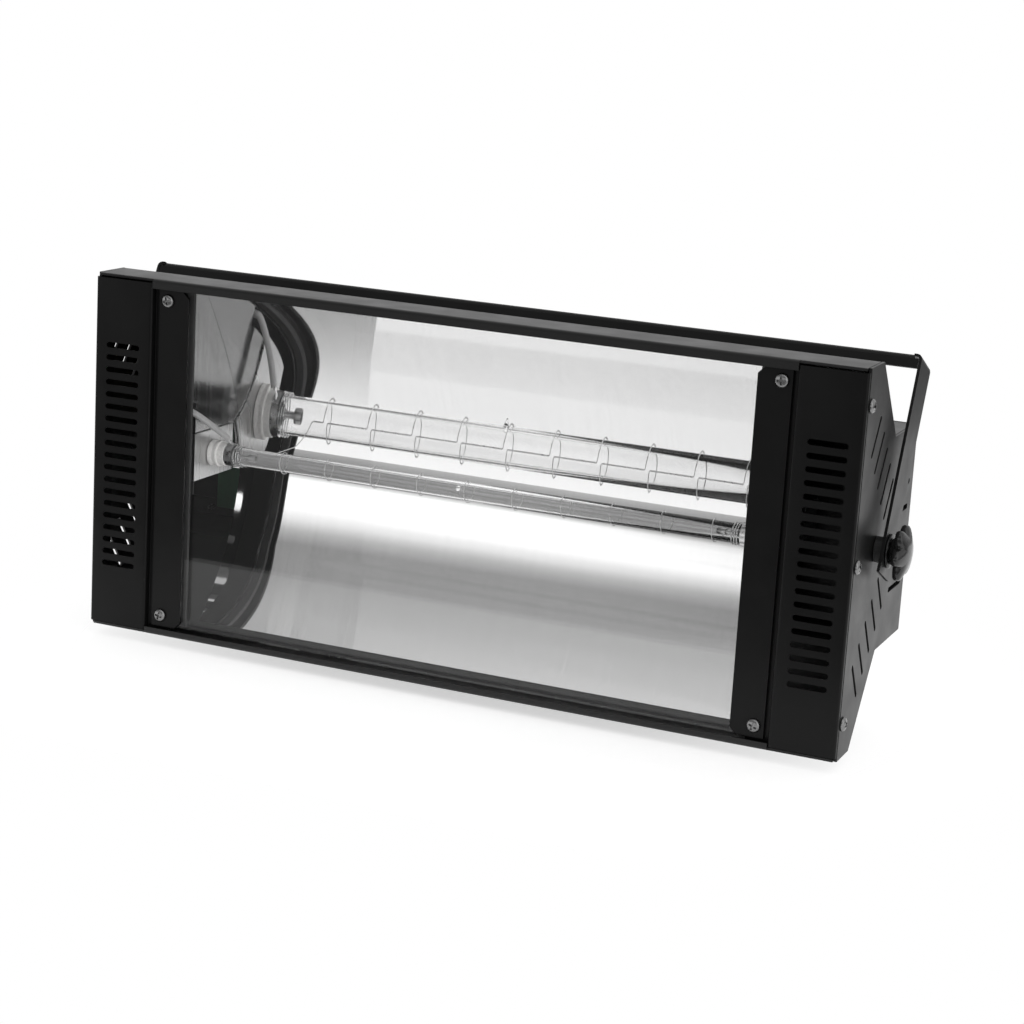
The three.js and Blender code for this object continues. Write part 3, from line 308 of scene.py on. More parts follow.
def lathe(form, profile, sides, place, loop=False):
    """A turned form: (radius, height) points about place's Z. With loop it is a ring."""
    rings = []
    for radius, height in profile:
        angles = [2 * math.pi * k / sides for k in range(sides if radius else 1)]
        rings.append([
            form.verts.new(place @ Vector((radius * math.cos(a), radius * math.sin(a), height)))
            for a in angles
        ])
    for low, high in zip(rings, rings[1:] + (rings[:1] if loop else [])):
        link_rings(form, low, high)


def prism(form, outline, low, high, place):
    """An outline in place's XY plane, carried from low to high along its Z."""
    rings = [[form.verts.new(place @ Vector((a, b, h))) for a, b in outline] for h in (low, high)]
    link_rings(form, *rings)
    for ring in rings:
        form.faces.new(ring)


def box(form, low, high):
    prism(form, [(low[0], low[1]), (high[0], low[1]), (high[0], high[1]), (low[0], high[1])],
          low[2], high[2], Matrix.Identity(4))


def sweep(form, path, radius, sides):
    """A round wire along points, closed at both ends."""
    normal = Vector((1, 0, 0)) if abs((path[1] - path[0]).normalized().x) < 0.9 else Vector((0, 0, 1))
    rings = []
    for i, point in enumerate(path):
        along = (path[min(i + 1, len(path) - 1)] - path[max(i - 1, 0)]).normalized()
        normal = (normal - along * normal.dot(along)).normalized()
        side = along.cross(normal)
        rings.append([
            form.verts.new(point + radius * (normal * math.cos(a) + side * math.sin(a)))
            for a in (2 * math.pi * k / sides for k in range(sides))
        ])
    for low, high in zip(rings, rings[1:]):
        link_rings(form, low, high)
    form.faces.new(rings[0])
    form.faces.new(rings[-1])


def slot_outline(a, b, length, width, turn=0.0, steps=8):
    reach = (length - width) / 2
    points = []
    for end in (0, math.pi):
        for k in range(steps + 1):
            angle = end - math.pi / 2 + math.pi * k / steps
            x = math.copysign(reach, math.cos(end)) + width / 2 * math.cos(angle)
            y = width / 2 * math.sin(angle)
            points.append((a + x * math.cos(turn) - y * math.sin(turn),
                           b + x * math.sin(turn) + y * math.cos(turn)))
    return points


def circle(a, b, radius, steps=24):
    return [(a + radius * math.cos(2 * math.pi * k / steps), b + radius * math.sin(2 * math.pi * k / steps))
            for k in range(steps)]


def to_mesh(name, form):
    bmesh.ops.recalc_face_normals(form, faces=form.faces)
    mesh = bpy.data.meshes.new(name)
    form.to_mesh(mesh)
    form.free()
    return mesh


def carved(solid, cutter):
    """One mesh less another, both given as functions that fill a bmesh."""
    made = []
    for fill in (solid, cutter):
        form = bmesh.new()
        fill(form)
        made.append(bpy.data.objects.new("carving", to_mesh("carving", form)))
        bpy.context.scene.collection.objects.link(made[-1])
    cut = made[0].modifiers.new("cut", "BOOLEAN")
    cut.operation, cut.object, cut.solver = "DIFFERENCE", made[1], "EXACT"
    mesh = bpy.data.meshes.new_from_object(made[0].evaluated_get(bpy.context.evaluated_depsgraph_get()))
    for work in made:
        bpy.data.objects.remove(work)
    return mesh


def mirror(mesh):
    mesh.transform(Matrix.Scale(-1, 4, (1, 0, 0)))
    mesh.flip_normals()


def piece(name, mesh, *replaced, look=None):
    """An object that stands for CAD nodes, on their body and in their finish."""
    slot = look or SLOT[replaced[0]]
    mesh.materials.clear()
    mesh.materials.append(looks[slot])
    mesh.polygons.foreach_set("use_smooth", [True] * len(mesh.polygons))
    form = bpy.data.objects.new(name, mesh)
    bpy.context.scene.collection.objects.link(form)
    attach(form, BODY[replaced[0]])
    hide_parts(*replaced)
    return form


def bevelled(form, width, segments=2, angle=32):
    """Edges broken by a small round, so that they catch the light."""
    edge = form.modifiers.new("edge", "BEVEL")
    edge.width, edge.segments = width * mm, segments
    edge.limit_method, edge.angle_limit = "ANGLE", math.radians(angle)
    edge.harden_normals = True
    return form


def finished(name, mesh, *replaced, width=0.0, sharp=35, look=None):
    """A mesh in housing mm made into a piece in its place."""
    mesh.transform(Matrix.Scale(mm, 4) @ Matrix.Translation(HOME))
    mesh.set_sharp_from_angle(angle=math.radians(sharp))
    form = piece(name, mesh, *replaced, look=look)
    return bevelled(form, width) if width else form


def built(name, fill, *replaced, side=1, **options):
    form = bmesh.new()
    fill(form)
    mesh = to_mesh(name, form)
    if side < 0:
        mirror(mesh)
    return finished(name, mesh, *replaced, **options)


def refined(name, width=0.25, sharp=35, look=None):
    """The CAD node's own form, cleared of flat seams and given broken edges."""
    form = bmesh.new()
    form.from_mesh(nodes[name].data)
    bmesh.ops.remove_doubles(form, verts=form.verts, dist=0.001 * mm)
    bmesh.ops.dissolve_limit(form, angle_limit=math.radians(1), verts=form.verts, edges=form.edges)
    mesh = to_mesh(name + "_form", form)
    mesh.set_sharp_from_angle(angle=math.radians(sharp))
    return bevelled(piece(name + "_form", mesh, name, look=look), width)


# Housing
SLOT_COUNT = 19
VENT_COUNT = 5


def folded(points, thickness, steps=4, bend=0.4):
    """The outline of a folded sheet whose outer face follows the points, the sheet to their left."""
    points = [Vector(p) for p in points]
    along = [(b - a).normalized() for a, b in zip(points, points[1:])]
    left = [Vector((-d.y, d.x)) for d in along]
    lines = []
    for depth in (0.0, thickness):
        line = []
        for i, corner in enumerate(points):
            before, after = left[max(i - 1, 0)], left[min(i, len(left) - 1)]
            middle = (before + after).normalized()
            reach = depth / middle.dot(before)
            moved = corner + middle * reach
            if 0 < i < len(points) - 1:
                turn = along[i - 1].cross(along[i])
                outer = (turn > 0) == (depth == 0)
                radius = bend + (thickness if outer else 0)
                angle = math.acos(max(-1, min(1, along[i - 1].dot(along[i]))))
                centre = moved + middle * math.copysign(radius / math.cos(angle / 2), turn)
                start = moved - along[i - 1] * radius * math.tan(angle / 2) - centre
                for k in range(steps + 1):
                    a = math.copysign(angle, turn) * k / steps
                    line.append(centre + Vector((start.x * math.cos(a) - start.y * math.sin(a),
                                                 start.x * math.sin(a) + start.y * math.cos(a))))
            else:
                line.append(moved)
        lines.append(line)
    return [tuple(p) for p in lines[0] + lines[1][::-1]]


def side_plate(side):
    outline = [(3.2, 0), (23, 0), (58, 43), (DEPTH, 43), (DEPTH, 152), (61, 152), (26, HEIGHT), (3.2, HEIGHT)]
    outer = (HALF_WIDTH - SIDE_SHEET, HALF_WIDTH)

    def openings(form):
        cuts = [slot_outline(DEPTH - 18.5, MIDDLE + 13.2 * i, 24, 2.6) for i in range(-2, 3)]
        for i in range(VENT_COUNT):
            y = 22.5 + i * (56.9 - 22.5) / (VENT_COUNT - 1)
            z = HEIGHT - 36 - i * (MIDDLE - 36 - 24.2) / (VENT_COUNT - 1)
            cuts.append(slot_outline(y, z, 22.5, 2.4, math.radians(56)))
            cuts.append(slot_outline(y, HEIGHT - z, 22.5, 2.4, math.radians(-56)))
        cuts += [circle(7, z, 1.7) for z in (18.5, MIDDLE, HEIGHT - 18.5)]
        cuts.append(circle(*PIVOT, 4.3, 32))
        for cut in cuts:
            prism(form, cut, outer[0] - 2, outer[1] + 2, SIDEWAYS)

    mesh = carved(lambda form: prism(form, outline, *outer, SIDEWAYS), openings)
    if SIDES[side] < 0:
        mirror(mesh)
    finished(f"side_plate_{side}_form", mesh, f"side_plate_{side}", width=0.2)


def column(side):
    outline = folded([(165, 4.5), (177.7, 4.5), (177.7, 0), (212.3, 0), (212.3, 2.8)], SHEET)

    def solid(form):
        prism(form, outline, 2.2, HEIGHT - 2.2, Matrix.Identity(4))

    def openings(form):
        for i in range(SLOT_COUNT):
            cut = slot_outline(195.1, 36 + i * (HEIGHT - 74.1) / (SLOT_COUNT - 1), 20.3, 3)
            prism(form, cut, -3, 3, ALONG_FRONT)
        for z in (11, HEIGHT - 11):
            prism(form, circle(169.4, z, 1.7), -8, 0, ALONG_FRONT)

    mesh = carved(solid, openings)
    if SIDES[side] < 0:
        mirror(mesh)
    finished(f"column_{side}_face", mesh, f"column_{side}", width=0.25)

    def rest(form):
        flange = (210.2 - SHEET, 210.2)
        box(form, (flange[0], SHEET / 2, 2.2), (flange[1], 14, HEIGHT - 2.2))

    built(f"column_{side}_flange", rest, f"column_{side}", side=SIDES[side], width=0.15)


def clamp_strip(side):
    inner, outer, low, high, corner = 157.0, 174.7, 4.8, 188.6, 3.4
    outline = [(inner + corner, low), (outer, low), (outer, high), (inner + corner, high),
               (inner, high - corner), (inner, low + corner)]

    def holes(form):
        for z in (11, HEIGHT - 11):
            prism(form, circle(169.4, z, 1.7), -6, 0, ALONG_FRONT)

    mesh = carved(lambda form: prism(form, outline, -4.2, -2.7, ALONG_FRONT), holes)
    if SIDES[side] < 0:
        mirror(mesh)
    finished(f"clamp_strip_{side}_form", mesh, f"clamp_strip_{side}", width=0.2)


def screws():
    """One pan head with a cross recess, set in each screw's place."""
    head = [(0, -2.0), (1.2, -1.98), (2.3, -1.75), (3.1, -1.3), (3.5, -0.7), (3.6, -0.2), (3.55, 0), (1.5, 0)]
    wide, slim = 2.1, 0.5
    recess = [(-slim, -wide), (slim, -wide), (slim, -slim), (wide, -slim), (wide, slim), (slim, slim),
              (slim, wide), (-slim, wide), (-slim, slim), (-wide, slim), (-wide, -slim), (-slim, -slim)]

    def solid(form, length):
        lathe(form, head + [(1.5, length), (0, length)], 32, Matrix.Identity(4))

    def cross(form):
        prism(form, recess, -3, -0.7, Matrix.Identity(4))

    places = {}
    for side, sign in SIDES.items():
        for name, z in (("lower", 11), ("upper", HEIGHT - 11)):
            places[f"strip_screw_{name}_{side}"] = (12, at(sign * 169.4, 2.5, z, ALONG_BACK))
        for name, z in (("lower", 18.5), ("middle", MIDDLE), ("upper", HEIGHT - 18.5)):
            turn = Matrix.Rotation(-sign * math.pi / 2, 4, "Y")
            places[f"side_screw_{name}_{side}"] = (6, at(sign * (HALF_WIDTH + FIT), 7, z, turn))
        for name, z in (("lower", 49), ("upper", 146)):
            places[f"panel_screw_{name}_{side}"] = (7, at(sign * 196, DEPTH + FIT, z, ALONG_FRONT))
    for turn, (name, (length, place)) in enumerate(places.items()):
        mesh = carved(lambda form: solid(form, length), cross)
        mesh.transform(place @ Matrix.Rotation(0.4 + 1.1 * turn, 4, "Z"))
        finished(f"{name}_form", mesh, name, width=0.08, sharp=30)


# Reflector and lamp
def trough_face(rise):
    """The depth of the trough's curve, as in the part's source."""
    def forward(share):
        return math.hypot(share + 0.07, 0.8) - 0.8

    place = rise / TROUGH_RISE
    low = max(0.0, -place - 0.55) / 0.45
    return TROUGH_DEEP - TROUGH_RUN * (forward(place) / forward(1) + 0.13 * low ** 2)


def trough():
    steps = 200
    rises = [TROUGH_RISE * (1 - 2 * i / steps) for i in range(steps + 1)]
    face = [(trough_face(rise), MIDDLE + rise) for rise in rises]
    back = []
    for rise, (y, z) in zip(rises, face):
        slope = (trough_face(rise - 0.1) - trough_face(rise + 0.1)) / 0.2
        scale = TROUGH_SHEET / math.hypot(1, slope)
        back.append((y + scale, z + scale * slope))

    def fill(form):
        prism(form, face + back[::-1], -TROUGH_HALF, TROUGH_HALF, SIDEWAYS)

    built("reflector_trough_form", fill, "reflector_trough")


def end_lip(side):
    """The end plate's narrow lip, which closes the slit to the trough in the upper half."""
    steps = 110
    low, sheet = -13.0, 0.7
    rises = [low + (TROUGH_RISE - 0.4 - low) * i / steps for i in range(steps + 1)]
    face = [(trough_face(rise) - 0.1, MIDDLE + rise) for rise in rises]
    back = [(y + sheet, z) for y, z in face]

    def fill(form):
        prism(form, face + back[::-1], TROUGH_HALF + 0.15, END_PLATE + FIT, SIDEWAYS)

    built(f"reflector_end_{side}_lip", fill, f"reflector_end_{side}", side=SIDES[side],
          look="reflector_sheet")


def end_plate(side):
    """The end plate in bare metal, its flange behind the clamp strip given the housing's black paint, which
    keeps that band dark where it shows in the trough's mirror.
    """
    sign = SIDES[side]
    for name, out, look in (("plate", sign, None), ("flange", -sign, "housing_paint")):
        form = bmesh.new()
        form.from_mesh(nodes[f"reflector_end_{side}"].data)
        bmesh.ops.remove_doubles(form, verts=form.verts, dist=0.001 * mm)
        whole = list(form.verts) + list(form.edges) + list(form.faces)
        bmesh.ops.bisect_plane(form, geom=whole, plane_co=(sign * FLANGE_ROOT * mm, 0, 0),
                               plane_no=(out, 0, 0), clear_outer=True)
        bmesh.ops.holes_fill(form, edges=[e for e in form.edges if e.is_boundary])
        bmesh.ops.dissolve_limit(form, angle_limit=math.radians(1), verts=form.verts, edges=form.edges)
        mesh = to_mesh(f"reflector_end_{side}_{name}", form)
        mesh.set_sharp_from_angle(angle=math.radians(35))
        bevelled(piece(f"reflector_end_{side}_{name}", mesh, f"reflector_end_{side}", look=look), 0.15)


def axis(x):
    return at(x, LAMP_Y, MIDDLE, ALONG_X)


def lamp_cap(side):
    def fill(form):
        lathe(form, [
            (5.2, 156.1), (5.2, 150.6), (5.5, CAP_INNER), (6.0, CAP_INNER), (6.3, 150.4), (6.3, 153.9),
            (6.6, 154.1), (6.9, 154.1), (7.2, 154.4), (7.2, 156.2), (6.95, 156.5), (6.95, 157.0),
            (7.2, 157.3), (7.2, 159.3), (6.9, CAP_OUTER), (5.0, CAP_OUTER), (5.0, 164.4), (4.6, 164.6),
            (0, 164.6),
            (0, 156.1),
        ], 64, axis(0), loop=True)

    built(f"lamp_cap_{side}_form", fill, f"lamp_cap_{side}", side=SIDES[side], sharp=40)


NIB_LIFT = 25
NIB_X = -9.6


def flash_tube():
    outer, inner = TUBE

    def fill(form):
        lathe(form, [
            (inner, -TUBE_HALF), (outer - 0.3, -TUBE_HALF), (outer, 0.3 - TUBE_HALF),
            (outer, TUBE_HALF - 0.3), (outer - 0.3, TUBE_HALF), (inner, TUBE_HALF),
        ], 96, axis(0), loop=True)
        nib = [(0, 4.6), (1.5, 4.6), (1.5, 5.0), (1.25, 5.5), (0.9, 6.1), (0.6, 6.7), (0.3, 7.0), (0, 7.05)]
        lift = Matrix.Rotation(math.radians(90 - NIB_LIFT), 4, "X")
        lathe(form, nib, 24, at(NIB_X, LAMP_Y, MIDDLE, lift))

    built("flash_tube_form", fill, "flash_tube", sharp=50)


def electrode(side):
    def fill(form):
        lathe(form, [
            (0, 131), (0.9, 131), (1.5, 131.3), (1.9, 132), (1.9, 135.4), (1.7, 136), (1.0, 136.2),
            (0.9, 137), (0.9, 141), (1.3, 142), (2.2, 143.4), (3.2, 144.4), (3.6, 145.2), (3.6, 146.4),
            (1.1, 146.6),
            (1.1, 148), (3.4, 148.2), (3.7, 149), (3.7, 152.8), (0, 153),
        ], 40, axis(0))

    built(f"electrode_{side}_form", fill, f"electrode_{side}", side=SIDES[side], sharp=40)


RING_COUNT = 10
RING_RISE = 2.4
WIRE_AT = 5.7
WIRE_LIFT = math.radians(38.5)


def trigger_wire():
    first, last = 37 - TUBE_HALF, TUBE_HALF - 23.3
    pitch = (last - first) / (RING_COUNT - 1)
    back = LAMP_Y + WIRE_AT * math.cos(WIRE_LIFT)
    up = MIDDLE + WIRE_AT * math.sin(WIRE_LIFT)
    feed = first - 7
    steps = 56
    path = [Vector((feed, TROUGH_DEEP + 4, up)), Vector((feed, back + 3, up))]

    def rounded(start, corner, end, reach=1.6):
        a = corner + (start - corner).normalized() * reach
        b = corner + (end - corner).normalized() * reach
        return [a.lerp(corner, t).lerp(corner.lerp(b, t), t) for t in (0, 0.25, 0.5, 0.75, 1)]

    path += rounded(path[-1], Vector((feed, back, up)), Vector((first, back, up)))
    for ring in range(RING_COUNT):
        x = first + ring * pitch
        turns = [
            Vector((x + RING_RISE * k / steps,
                    LAMP_Y + WIRE_AT * math.cos(WIRE_LIFT + 2 * math.pi * k / steps),
                    MIDDLE + WIRE_AT * math.sin(WIRE_LIFT + 2 * math.pi * k / steps)))
            for k in range(steps + 1)
        ]
        path += rounded(path[-1], turns[0], turns[3], 0.8)[:-1]
        path += turns[2:-2]
        path += rounded(turns[-4], turns[-1], turns[-1] + Vector((pitch, 0, 0)), 0.8)[1:]
    path.append(path[-1] + Vector((RING_RISE, 0, 0)))
    built("trigger_wire_form", lambda form: sweep(form, path, 0.24, 12), "trigger_wire", sharp=60)


def smooth_path(points, steps):
    """A smooth path through points."""
    points = [Vector(p) for p in points]
    ends = [2 * points[0] - points[1], *points, 2 * points[-1] - points[-2]]
    path = []
    for a, b, c, d in zip(ends, ends[1:], ends[2:], ends[3:]):
        for k in range(steps):
            t = k / steps
            path.append(0.5 * (2 * b + (c - a) * t + (2 * a - 5 * b + 4 * c - d) * t * t
                               + (3 * b - a - 3 * c + d) * t ** 3))
    path.append(points[-1])
    return path


def lamp_lead(side):
    """The sleeved lead, the bare strands at its end and the clamp round the tube."""
    node = f"lamp_lead_{side}"
    route = [(149.4, 35.0, 106.3), (151.2, 31.2, 109.6), (155.2, 22.5, 116.6), (159.3, 15.6, 122.0),
             (162.0, 14.4, 123.2), (166.0, 14.0, 124.0)]
    built(f"{node}_sleeve", lambda form: sweep(form, smooth_path(route, 8), 1.7, 24), node,
          side=SIDES[side], sharp=60)

    def bare(form):
        lathe(form, [(5.2, 145.4), (5.9, 145.4), (5.9, 149.6), (5.2, 149.6)], 48, axis(0), loop=True)
        box(form, (145.4, 34.6, 102.4), (149.6, 39.0, 103.4))
        for k in range(5):
            sway = 0.5 * math.sin(2.4 * k)
            strand = smooth_path([
                (149.6, 34.6 + 0.3 * k, 106.0),
                (148.6 - 0.4 * sway, 35.2 + sway, 104.6 + 0.3 * k),
                (147.6, 36.0 + 0.4 * k, 103.5),
            ], 5)
            sweep(form, strand, 0.35, 8)
        turn = [Vector((144.6 - 0.7 * t / 6.283 * 2, LAMP_Y + 5.5 * math.cos(t), MIDDLE + 5.5 * math.sin(t)))
                for t in (0.2 * k for k in range(90))]
        sweep(form, turn, 0.33, 8)

    built(f"{node}_strands", bare, node, side=SIDES[side], sharp=40, look="wire_metal")


# Yoke clamps
def star_knob(side):
    hub, face = 220.6, 223.4
    lobes, sides = 6, 192
    turn = math.radians(25)

    def outline(scale, round_off, height):
        ring = []
        for k in range(sides):
            angle = 2 * math.pi * k / sides
            wave = (0.5 + 0.5 * math.cos(lobes * (angle - turn))) ** 0.62
            radius = (9.6 + 4.4 * wave) * (1 - round_off) + 12.0 * round_off
            ring.append((radius * scale, angle, height))
        return ring

    def fill(form):
        levels = [(0.88, 0, 0), (0.96, 0, 0.25), (1.0, 0, 0.9), (1.0, 0, 2.9), (0.985, 0.05, 3.5),
                  (0.94, 0.2, 4.15), (0.86, 0.4, 4.8), (0.74, 0.65, 5.5), (0.58, 0.9, 6.15), (0.4, 1, 6.6),
                  (0.2, 1, 6.9), (0.08, 1, 7.0)]
        rings = []
        for scale, round_off, lift in levels:
            rings.append([
                form.verts.new(Vector((h, PIVOT[0] + r * math.sin(a), PIVOT[1] + r * math.cos(a))))
                for r, a, h in outline(scale, round_off, face + lift)
            ])
        for low, high in zip(rings, rings[1:]):
            link_rings(form, low, high)
        form.faces.new(rings[-1])
        form.faces.new(rings[0])
        lathe(form, [(0, face + 0.5), (6.9, face + 0.5), (6.9, face), (6.6, hub + 0.4), (6.2, hub), (4, hub),
                     (4, 195.3), (0, 195.3)], 48, at(0, *PIVOT, ALONG_X))

    built(f"star_knob_{side}_form", fill, f"star_knob_{side}", side=SIDES[side], sharp=50)


def rings():
    """Spacers, washers and threaded inserts, turned with broken edges."""
    for side, sign in SIDES.items():
        for name, bore, outer, low, high, look in (
                ("yoke_spacer", 4.3, 6.5, 212.7, 217.5, "fitting_plastic"),
                ("knob_washer", 4.3, 8.5, 219.4, 220.4, None)):
            edge = 0.25
            profile = [(bore, low), (outer - edge, low), (outer, low + edge), (outer, high - edge),
                       (outer - edge, high), (bore, high)]
            built(f"{name}_{side}_form",
                  lambda form: lathe(form, profile, 64, at(0, *PIVOT, ALONG_X), loop=True),
                  f"{name}_{side}", side=sign, sharp=40, look=look)
        profile = [(4.3, 198.8), (5.6, 198.8), (6.0, 199.2), (6.0, 209.3), (8.0, 209.3), (8.0, 210.8),
                   (4.3, 210.8)]
        built(f"threaded_insert_{side}_form",
              lambda form: lathe(form, profile, 48, at(0, *PIVOT, ALONG_X), loop=True),
              f"threaded_insert_{side}", side=sign, sharp=40)


# Rear panel
SOCKET_X = {"in": 76, "out": 46}
KNOB_X = {"rate_knob": 8, "level_knob": -30}
FUSE_X = 108


def rear_panel():
    half = 210.6

    def holes(form):
        cuts = [[(135.8, 86.8), (164.2, 86.8), (164.2, 107.2), (135.8, 107.2)],
                circle(FUSE_X, MIDDLE, 6.2, 32)]
        cuts += [circle(x, MIDDLE, 5.7, 32) for x in SOCKET_X.values()]
        cuts += [circle(x, MIDDLE, 4.7, 32) for x in KNOB_X.values()]
        cuts += [circle(x, z, 1.7) for x in (-196, 196) for z in (49, 146)]
        for cut in cuts:
            prism(form, cut, -DEPTH - 2, -DEPTH + 4, ALONG_FRONT)

    outline = [(-half, 43.2), (half, 43.2), (half, 151.8), (-half, 151.8)]
    mesh = carved(lambda form: prism(form, outline, -DEPTH, SHEET - DEPTH, ALONG_FRONT), holes)
    finished("rear_panel_form", mesh, "rear_panel", width=0.2)


def control_knob(name, x):
    low, high, ribs, sides = 105.2, 116.2, 20, 160

    def fill(form):
        levels = [(0.0, 7.0, low), (0.0, 7.5, low), (0.0, 7.5, low + 1.4), (0.28, 7.3, low + 1.8),
                  (0.28, 6.8, high - 1.3), (0.1, 6.4, high - 0.5), (0.0, 5.8, high), (0.0, 5.2, high - 0.2)]
        rings = []
        for depth, radius, height in levels:
            ring = []
            for k in range(sides):
                a = 2 * math.pi * k / sides
                r = radius - depth * (0.5 - 0.5 * math.cos(ribs * a)) ** 2
                ring.append(form.verts.new((x + r * math.cos(a), height, MIDDLE + r * math.sin(a))))
            rings.append(ring)
        for first, second in zip(rings, rings[1:]):
            link_rings(form, first, second)
        form.faces.new(rings[0])
        form.faces.new(rings[-1])
        lathe(form, [(0, 96.2), (3, 96.2), (3, low + 0.2), (0, low + 0.2)], 32, at(x, 0, MIDDLE, ALONG_BACK))

    built(f"{name}_form", fill, name, sharp=30)

    def pointer(form):
        box(form, (x - 0.5, high - 0.4, MIDDLE + 1.2), (x + 0.5, high + 0.5, MIDDLE + 5.6))

    built(f"{name}_pointer", pointer, name, look="lamp_ceramic", width=0.1)


def fuse():
    x = FUSE_X

    def holder(form):
        lathe(form, [(4.2, 106.2), (6.5, 106.2), (7.0, 105.7), (7.0, 104.2), (6.0, 104.2), (6.0, 82.8),
                     (0, 82.8), (0, 92), (4.2, 92)], 48, at(x, 0, MIDDLE, ALONG_BACK), loop=True)

    built("fuse_holder_form", holder, "fuse_holder", sharp=35)

    def cap(form):
        lathe(form, [(0, 94.2), (3.9, 94.2), (3.9, 106.4), (5.3, 106.4), (5.6, 106.7), (5.6, 109.4),
                     (5.3, 109.6), (5.3, 110.0), (5.5, 110.2), (5.5, 111.0), (5.1, 111.4), (0, 111.4)], 48,
              at(x, 0, MIDDLE, ALONG_BACK))

    def coin(form):
        box(form, (x - 9, 109.8, MIDDLE - 0.7), (x + 9, 114, MIDDLE + 0.7))

    finished("fuse_cap_form", carved(cap, coin), "fuse_cap", width=0.1)


def sockets():
    for name, x in SOCKET_X.items():
        def body(form):
            hexagon = [(x + 7.5 * math.cos(math.pi * k / 3), MIDDLE + 7.5 * math.sin(math.pi * k / 3))
                       for k in range(6)]
            prism(form, hexagon, -106.2, -104.2, ALONG_FRONT)

        def barrel(form):
            lathe(form, [(3.3, 107.2), (5.0, 107.2), (5.4, 106.8), (5.4, 106.1), (5.5, 104.3), (5.5, 82.8),
                         (0, 82.8), (0, 90.2), (3.3, 90.2)], 48, at(x, 0, MIDDLE, ALONG_BACK), loop=True)

        def bore(form):
            lathe(form, [(0, 100), (5.35, 100), (5.35, 110), (0, 110)], 48, at(x, 0, MIDDLE, ALONG_BACK))

        node = f"remote_socket_{name}"
        finished(f"{node}_nut", carved(body, bore), node, width=0.25, look="clamp_steel")
        built(f"{node}_barrel", barrel, node, sharp=35)


def dress_cad():
    """What stays as the CAD made it gets its finish."""
    for name, node in nodes.items():
        look = looks[SLOT[name]]
        if not node.material_slots:
            node.data.materials.append(look)
        for held in node.material_slots:
            held.link = "OBJECT"
            held.material = look


def object_pieces():
    for side in SIDES:
        side_plate(side)
        column(side)
        clamp_strip(side)
        lamp_cap(side)
        electrode(side)
        lamp_lead(side)
        star_knob(side)
        end_plate(side)
        end_lip(side)
        refined(f"lamp_plate_{side}", 0.15)
        refined(f"glass_gasket_{side}", 0.3)
    screws()
    trough()
    flash_tube()
    trigger_wire()
    rings()
    rear_panel()
    for name, x in KNOB_X.items():
        control_knob(name, x)
    fuse()
    sockets()
    for name in ("upper_shell", "lower_shell", "yoke", "power_inlet", "front_glass"):
        refined(name)
    for name in ("power_board", "control_board", "film_capacitor_1", "film_capacitor_2", "trigger_coil"):
        refined(name, 0.2)


# Studio
FLOOR_AT = (HOME.z - 6) * mm
FLOOR_FRONT = 0.158
FLOOR_REACH = 0.8
FLOOR_FADE = (0.2, 0.36)
SOFTBOX = [(-90, 0.8), (-24, 0.55), (-16, 0.25), (-8, 0.25), (-4, 1.35), (11, 1.4), (17, 1.0), (21.5, 0.55),
           (26, 0.31), (40, 0.33), (60, 0.6), (90, 0.7)]
CAMERA_SIDE = [(-90, 0.6), (-20, 0.3), (-12, 0.18), (-6, 0.18), (0, 0.9), (12, 1.0), (20, 0.35), (27, 0.18),
               (34, 0.18), (45, 0.8), (90, 1.3)]
RIGHT_LIGHT = [(-90, 0.6), (-10, 0.8), (0, 1.6), (60, 1.6), (90, 1.3)]
ROOM = [(-90, 0.2), (-6, 0.2), (3, 0.75), (10, 0.9), (90, 0.9)]


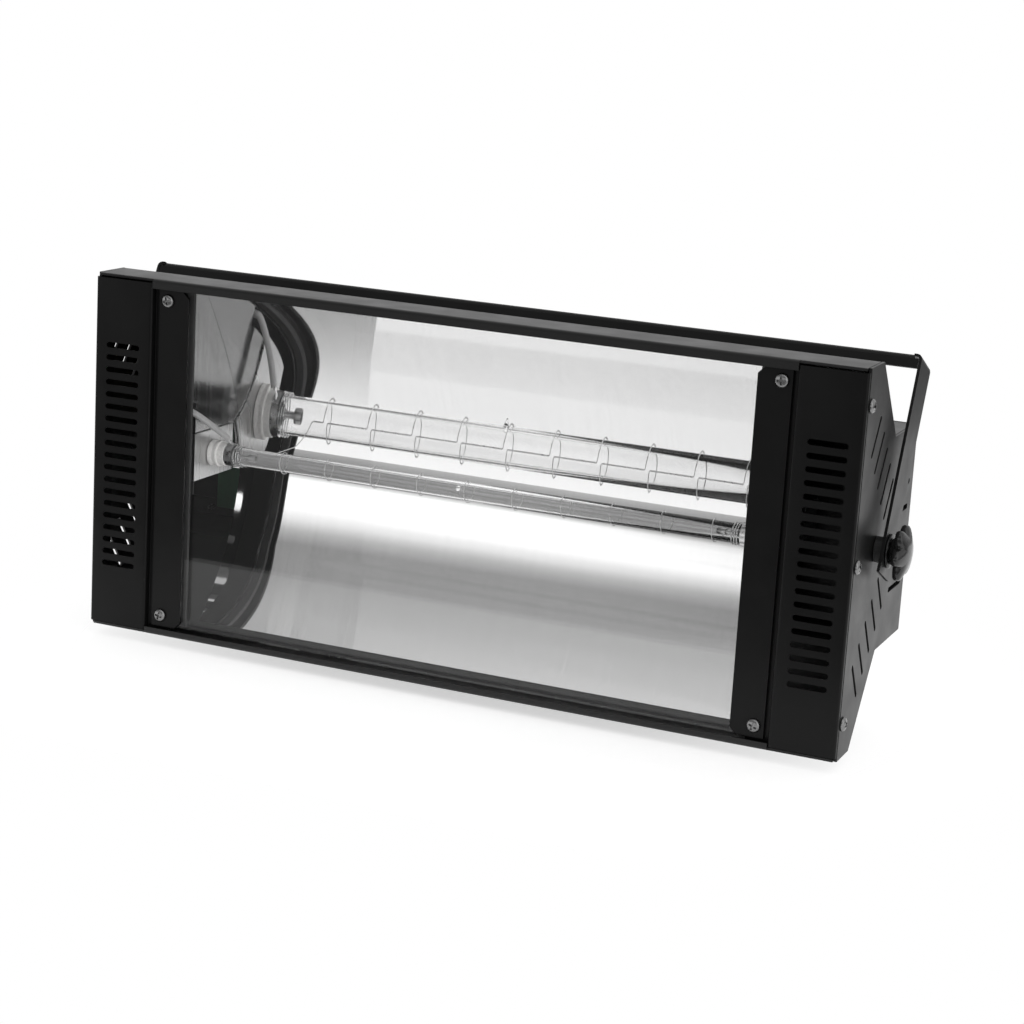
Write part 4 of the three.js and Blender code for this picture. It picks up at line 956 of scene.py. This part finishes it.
def world():
    made = bpy.data.worlds.new("studio")
    bpy.context.scene.world = made
    made.use_nodes = True
    tree = made.node_tree
    tree.nodes.clear()

    def node(kind, **values):
        new = tree.nodes.new(kind)
        for key, value in values.items():
            setattr(new, key, value)
        return new

    def math_node(operation, *sources):
        new = node("ShaderNodeMath", operation=operation)
        for socket, source in zip(new.inputs, sources):
            if isinstance(source, (int, float)):
                socket.default_value = source
            else:
                tree.links.new(source, socket)
        return new.outputs["Value"]

    def spread(source, low, high):
        new = node("ShaderNodeMapRange", interpolation_type="SMOOTHSTEP")
        new.inputs["From Min"].default_value = math.radians(low)
        new.inputs["From Max"].default_value = math.radians(high)
        tree.links.new(source, new.inputs["Value"])
        return new.outputs["Result"]

    def ramp(source, stops):
        new = node("ShaderNodeValToRGB")
        elements = new.color_ramp.elements
        while len(elements) < len(stops):
            elements.new(0.5)
        top = max(value for _, value in stops)
        for element, (degrees, value) in zip(elements, stops):
            element.position = (degrees + 90) / 180
            element.color = (value / top, value / top, value / top, 1)
        tree.links.new(source, new.inputs["Fac"])
        return math_node("MULTIPLY", new.outputs["Color"], top)

    def mix(factor, first, second):
        new = node("ShaderNodeMix", data_type="FLOAT")
        tree.links.new(factor, new.inputs["Factor"])
        tree.links.new(first, new.inputs["A"])
        tree.links.new(second, new.inputs["B"])
        return new.outputs["Result"]

    parts = node("ShaderNodeSeparateXYZ")
    tree.links.new(node("ShaderNodeTexCoord").outputs["Generated"], parts.inputs["Vector"])
    x, y, z = parts.outputs
    around = math_node("ARCTAN2", x, math_node("MULTIPLY", y, -1.0))
    height = math_node("MULTIPLY_ADD", math_node("ARCSINE", z), 1 / math.pi, 0.5)
    front = mix(spread(around, -24, -10), ramp(height, SOFTBOX), ramp(height, CAMERA_SIDE))
    front = mix(spread(around, 30, 50), front, ramp(height, RIGHT_LIGHT))
    light = mix(spread(math_node("ABSOLUTE", around), 60, 100), front, ramp(height, ROOM))
    room = node("ShaderNodeBackground")
    white = node("ShaderNodeBackground")
    white.inputs["Color"].default_value = (1, 1, 1, 1)
    path = node("ShaderNodeLightPath")
    choice = node("ShaderNodeMixShader")
    out = node("ShaderNodeOutputWorld")
    tree.links.new(light, room.inputs["Color"])
    tree.links.new(path.outputs["Is Camera Ray"], choice.inputs["Fac"])
    tree.links.new(room.outputs["Background"], choice.inputs[1])
    tree.links.new(white.outputs["Background"], choice.inputs[2])
    tree.links.new(choice.outputs["Shader"], out.inputs["Surface"])


def studio():
    scene = bpy.context.scene
    scene.view_settings.view_transform = "Standard"
    scene.cycles.max_bounces = 24
    scene.cycles.glossy_bounces = 12
    scene.cycles.transmission_bounces = 12
    scene.cycles.transparent_max_bounces = 40
    front = HOME.y * mm - FLOOR_FRONT
    mesh = bpy.data.meshes.new("floor")
    corners = [(-FLOOR_REACH, front), (FLOOR_REACH, front),
               (FLOOR_REACH, FLOOR_REACH), (-FLOOR_REACH, FLOOR_REACH)]
    mesh.from_pydata([(x, y, FLOOR_AT) for x, y in corners], [], [(0, 1, 2, 3)])
    floor = bpy.data.objects.new("floor", mesh)
    scene.collection.objects.link(floor)
    n = Nodes("floor_paper")
    n.set(Base_Color=(0.8, 0.8, 0.8, 1), Roughness=0.9)
    n.set(Emission_Color=(1, 1, 1, 1), Emission_Strength=0.5)
    far = n.add("ShaderNodeVectorMath", operation="LENGTH")
    n.link(n.place, far.inputs[0])
    fade = n.add("ShaderNodeMapRange", interpolation_type="SMOOTHSTEP")
    fade.inputs["From Min"].default_value = FLOOR_FADE[0]
    fade.inputs["From Max"].default_value = FLOOR_FADE[1]
    n.link(far.outputs["Value"], fade.inputs["Value"])
    seen = n.add("ShaderNodeMath", operation="MULTIPLY")
    n.link(fade.outputs["Result"], seen.inputs[0])
    n.link(n.add("ShaderNodeLightPath").outputs["Is Camera Ray"], seen.inputs[1])
    mix = n.add("ShaderNodeMixShader")
    n.link(seen.outputs["Value"], mix.inputs["Fac"])
    n.link(n.shader.outputs["BSDF"], mix.inputs[1])
    n.link(n.add("ShaderNodeBsdfTransparent").outputs["BSDF"], mix.inputs[2])
    n.link(mix.outputs["Shader"], n.output.inputs["Surface"])
    mesh.materials.append(n.material)
    world()


camera()
looks = materials()
dress_cad()
object_pieces()
studio()
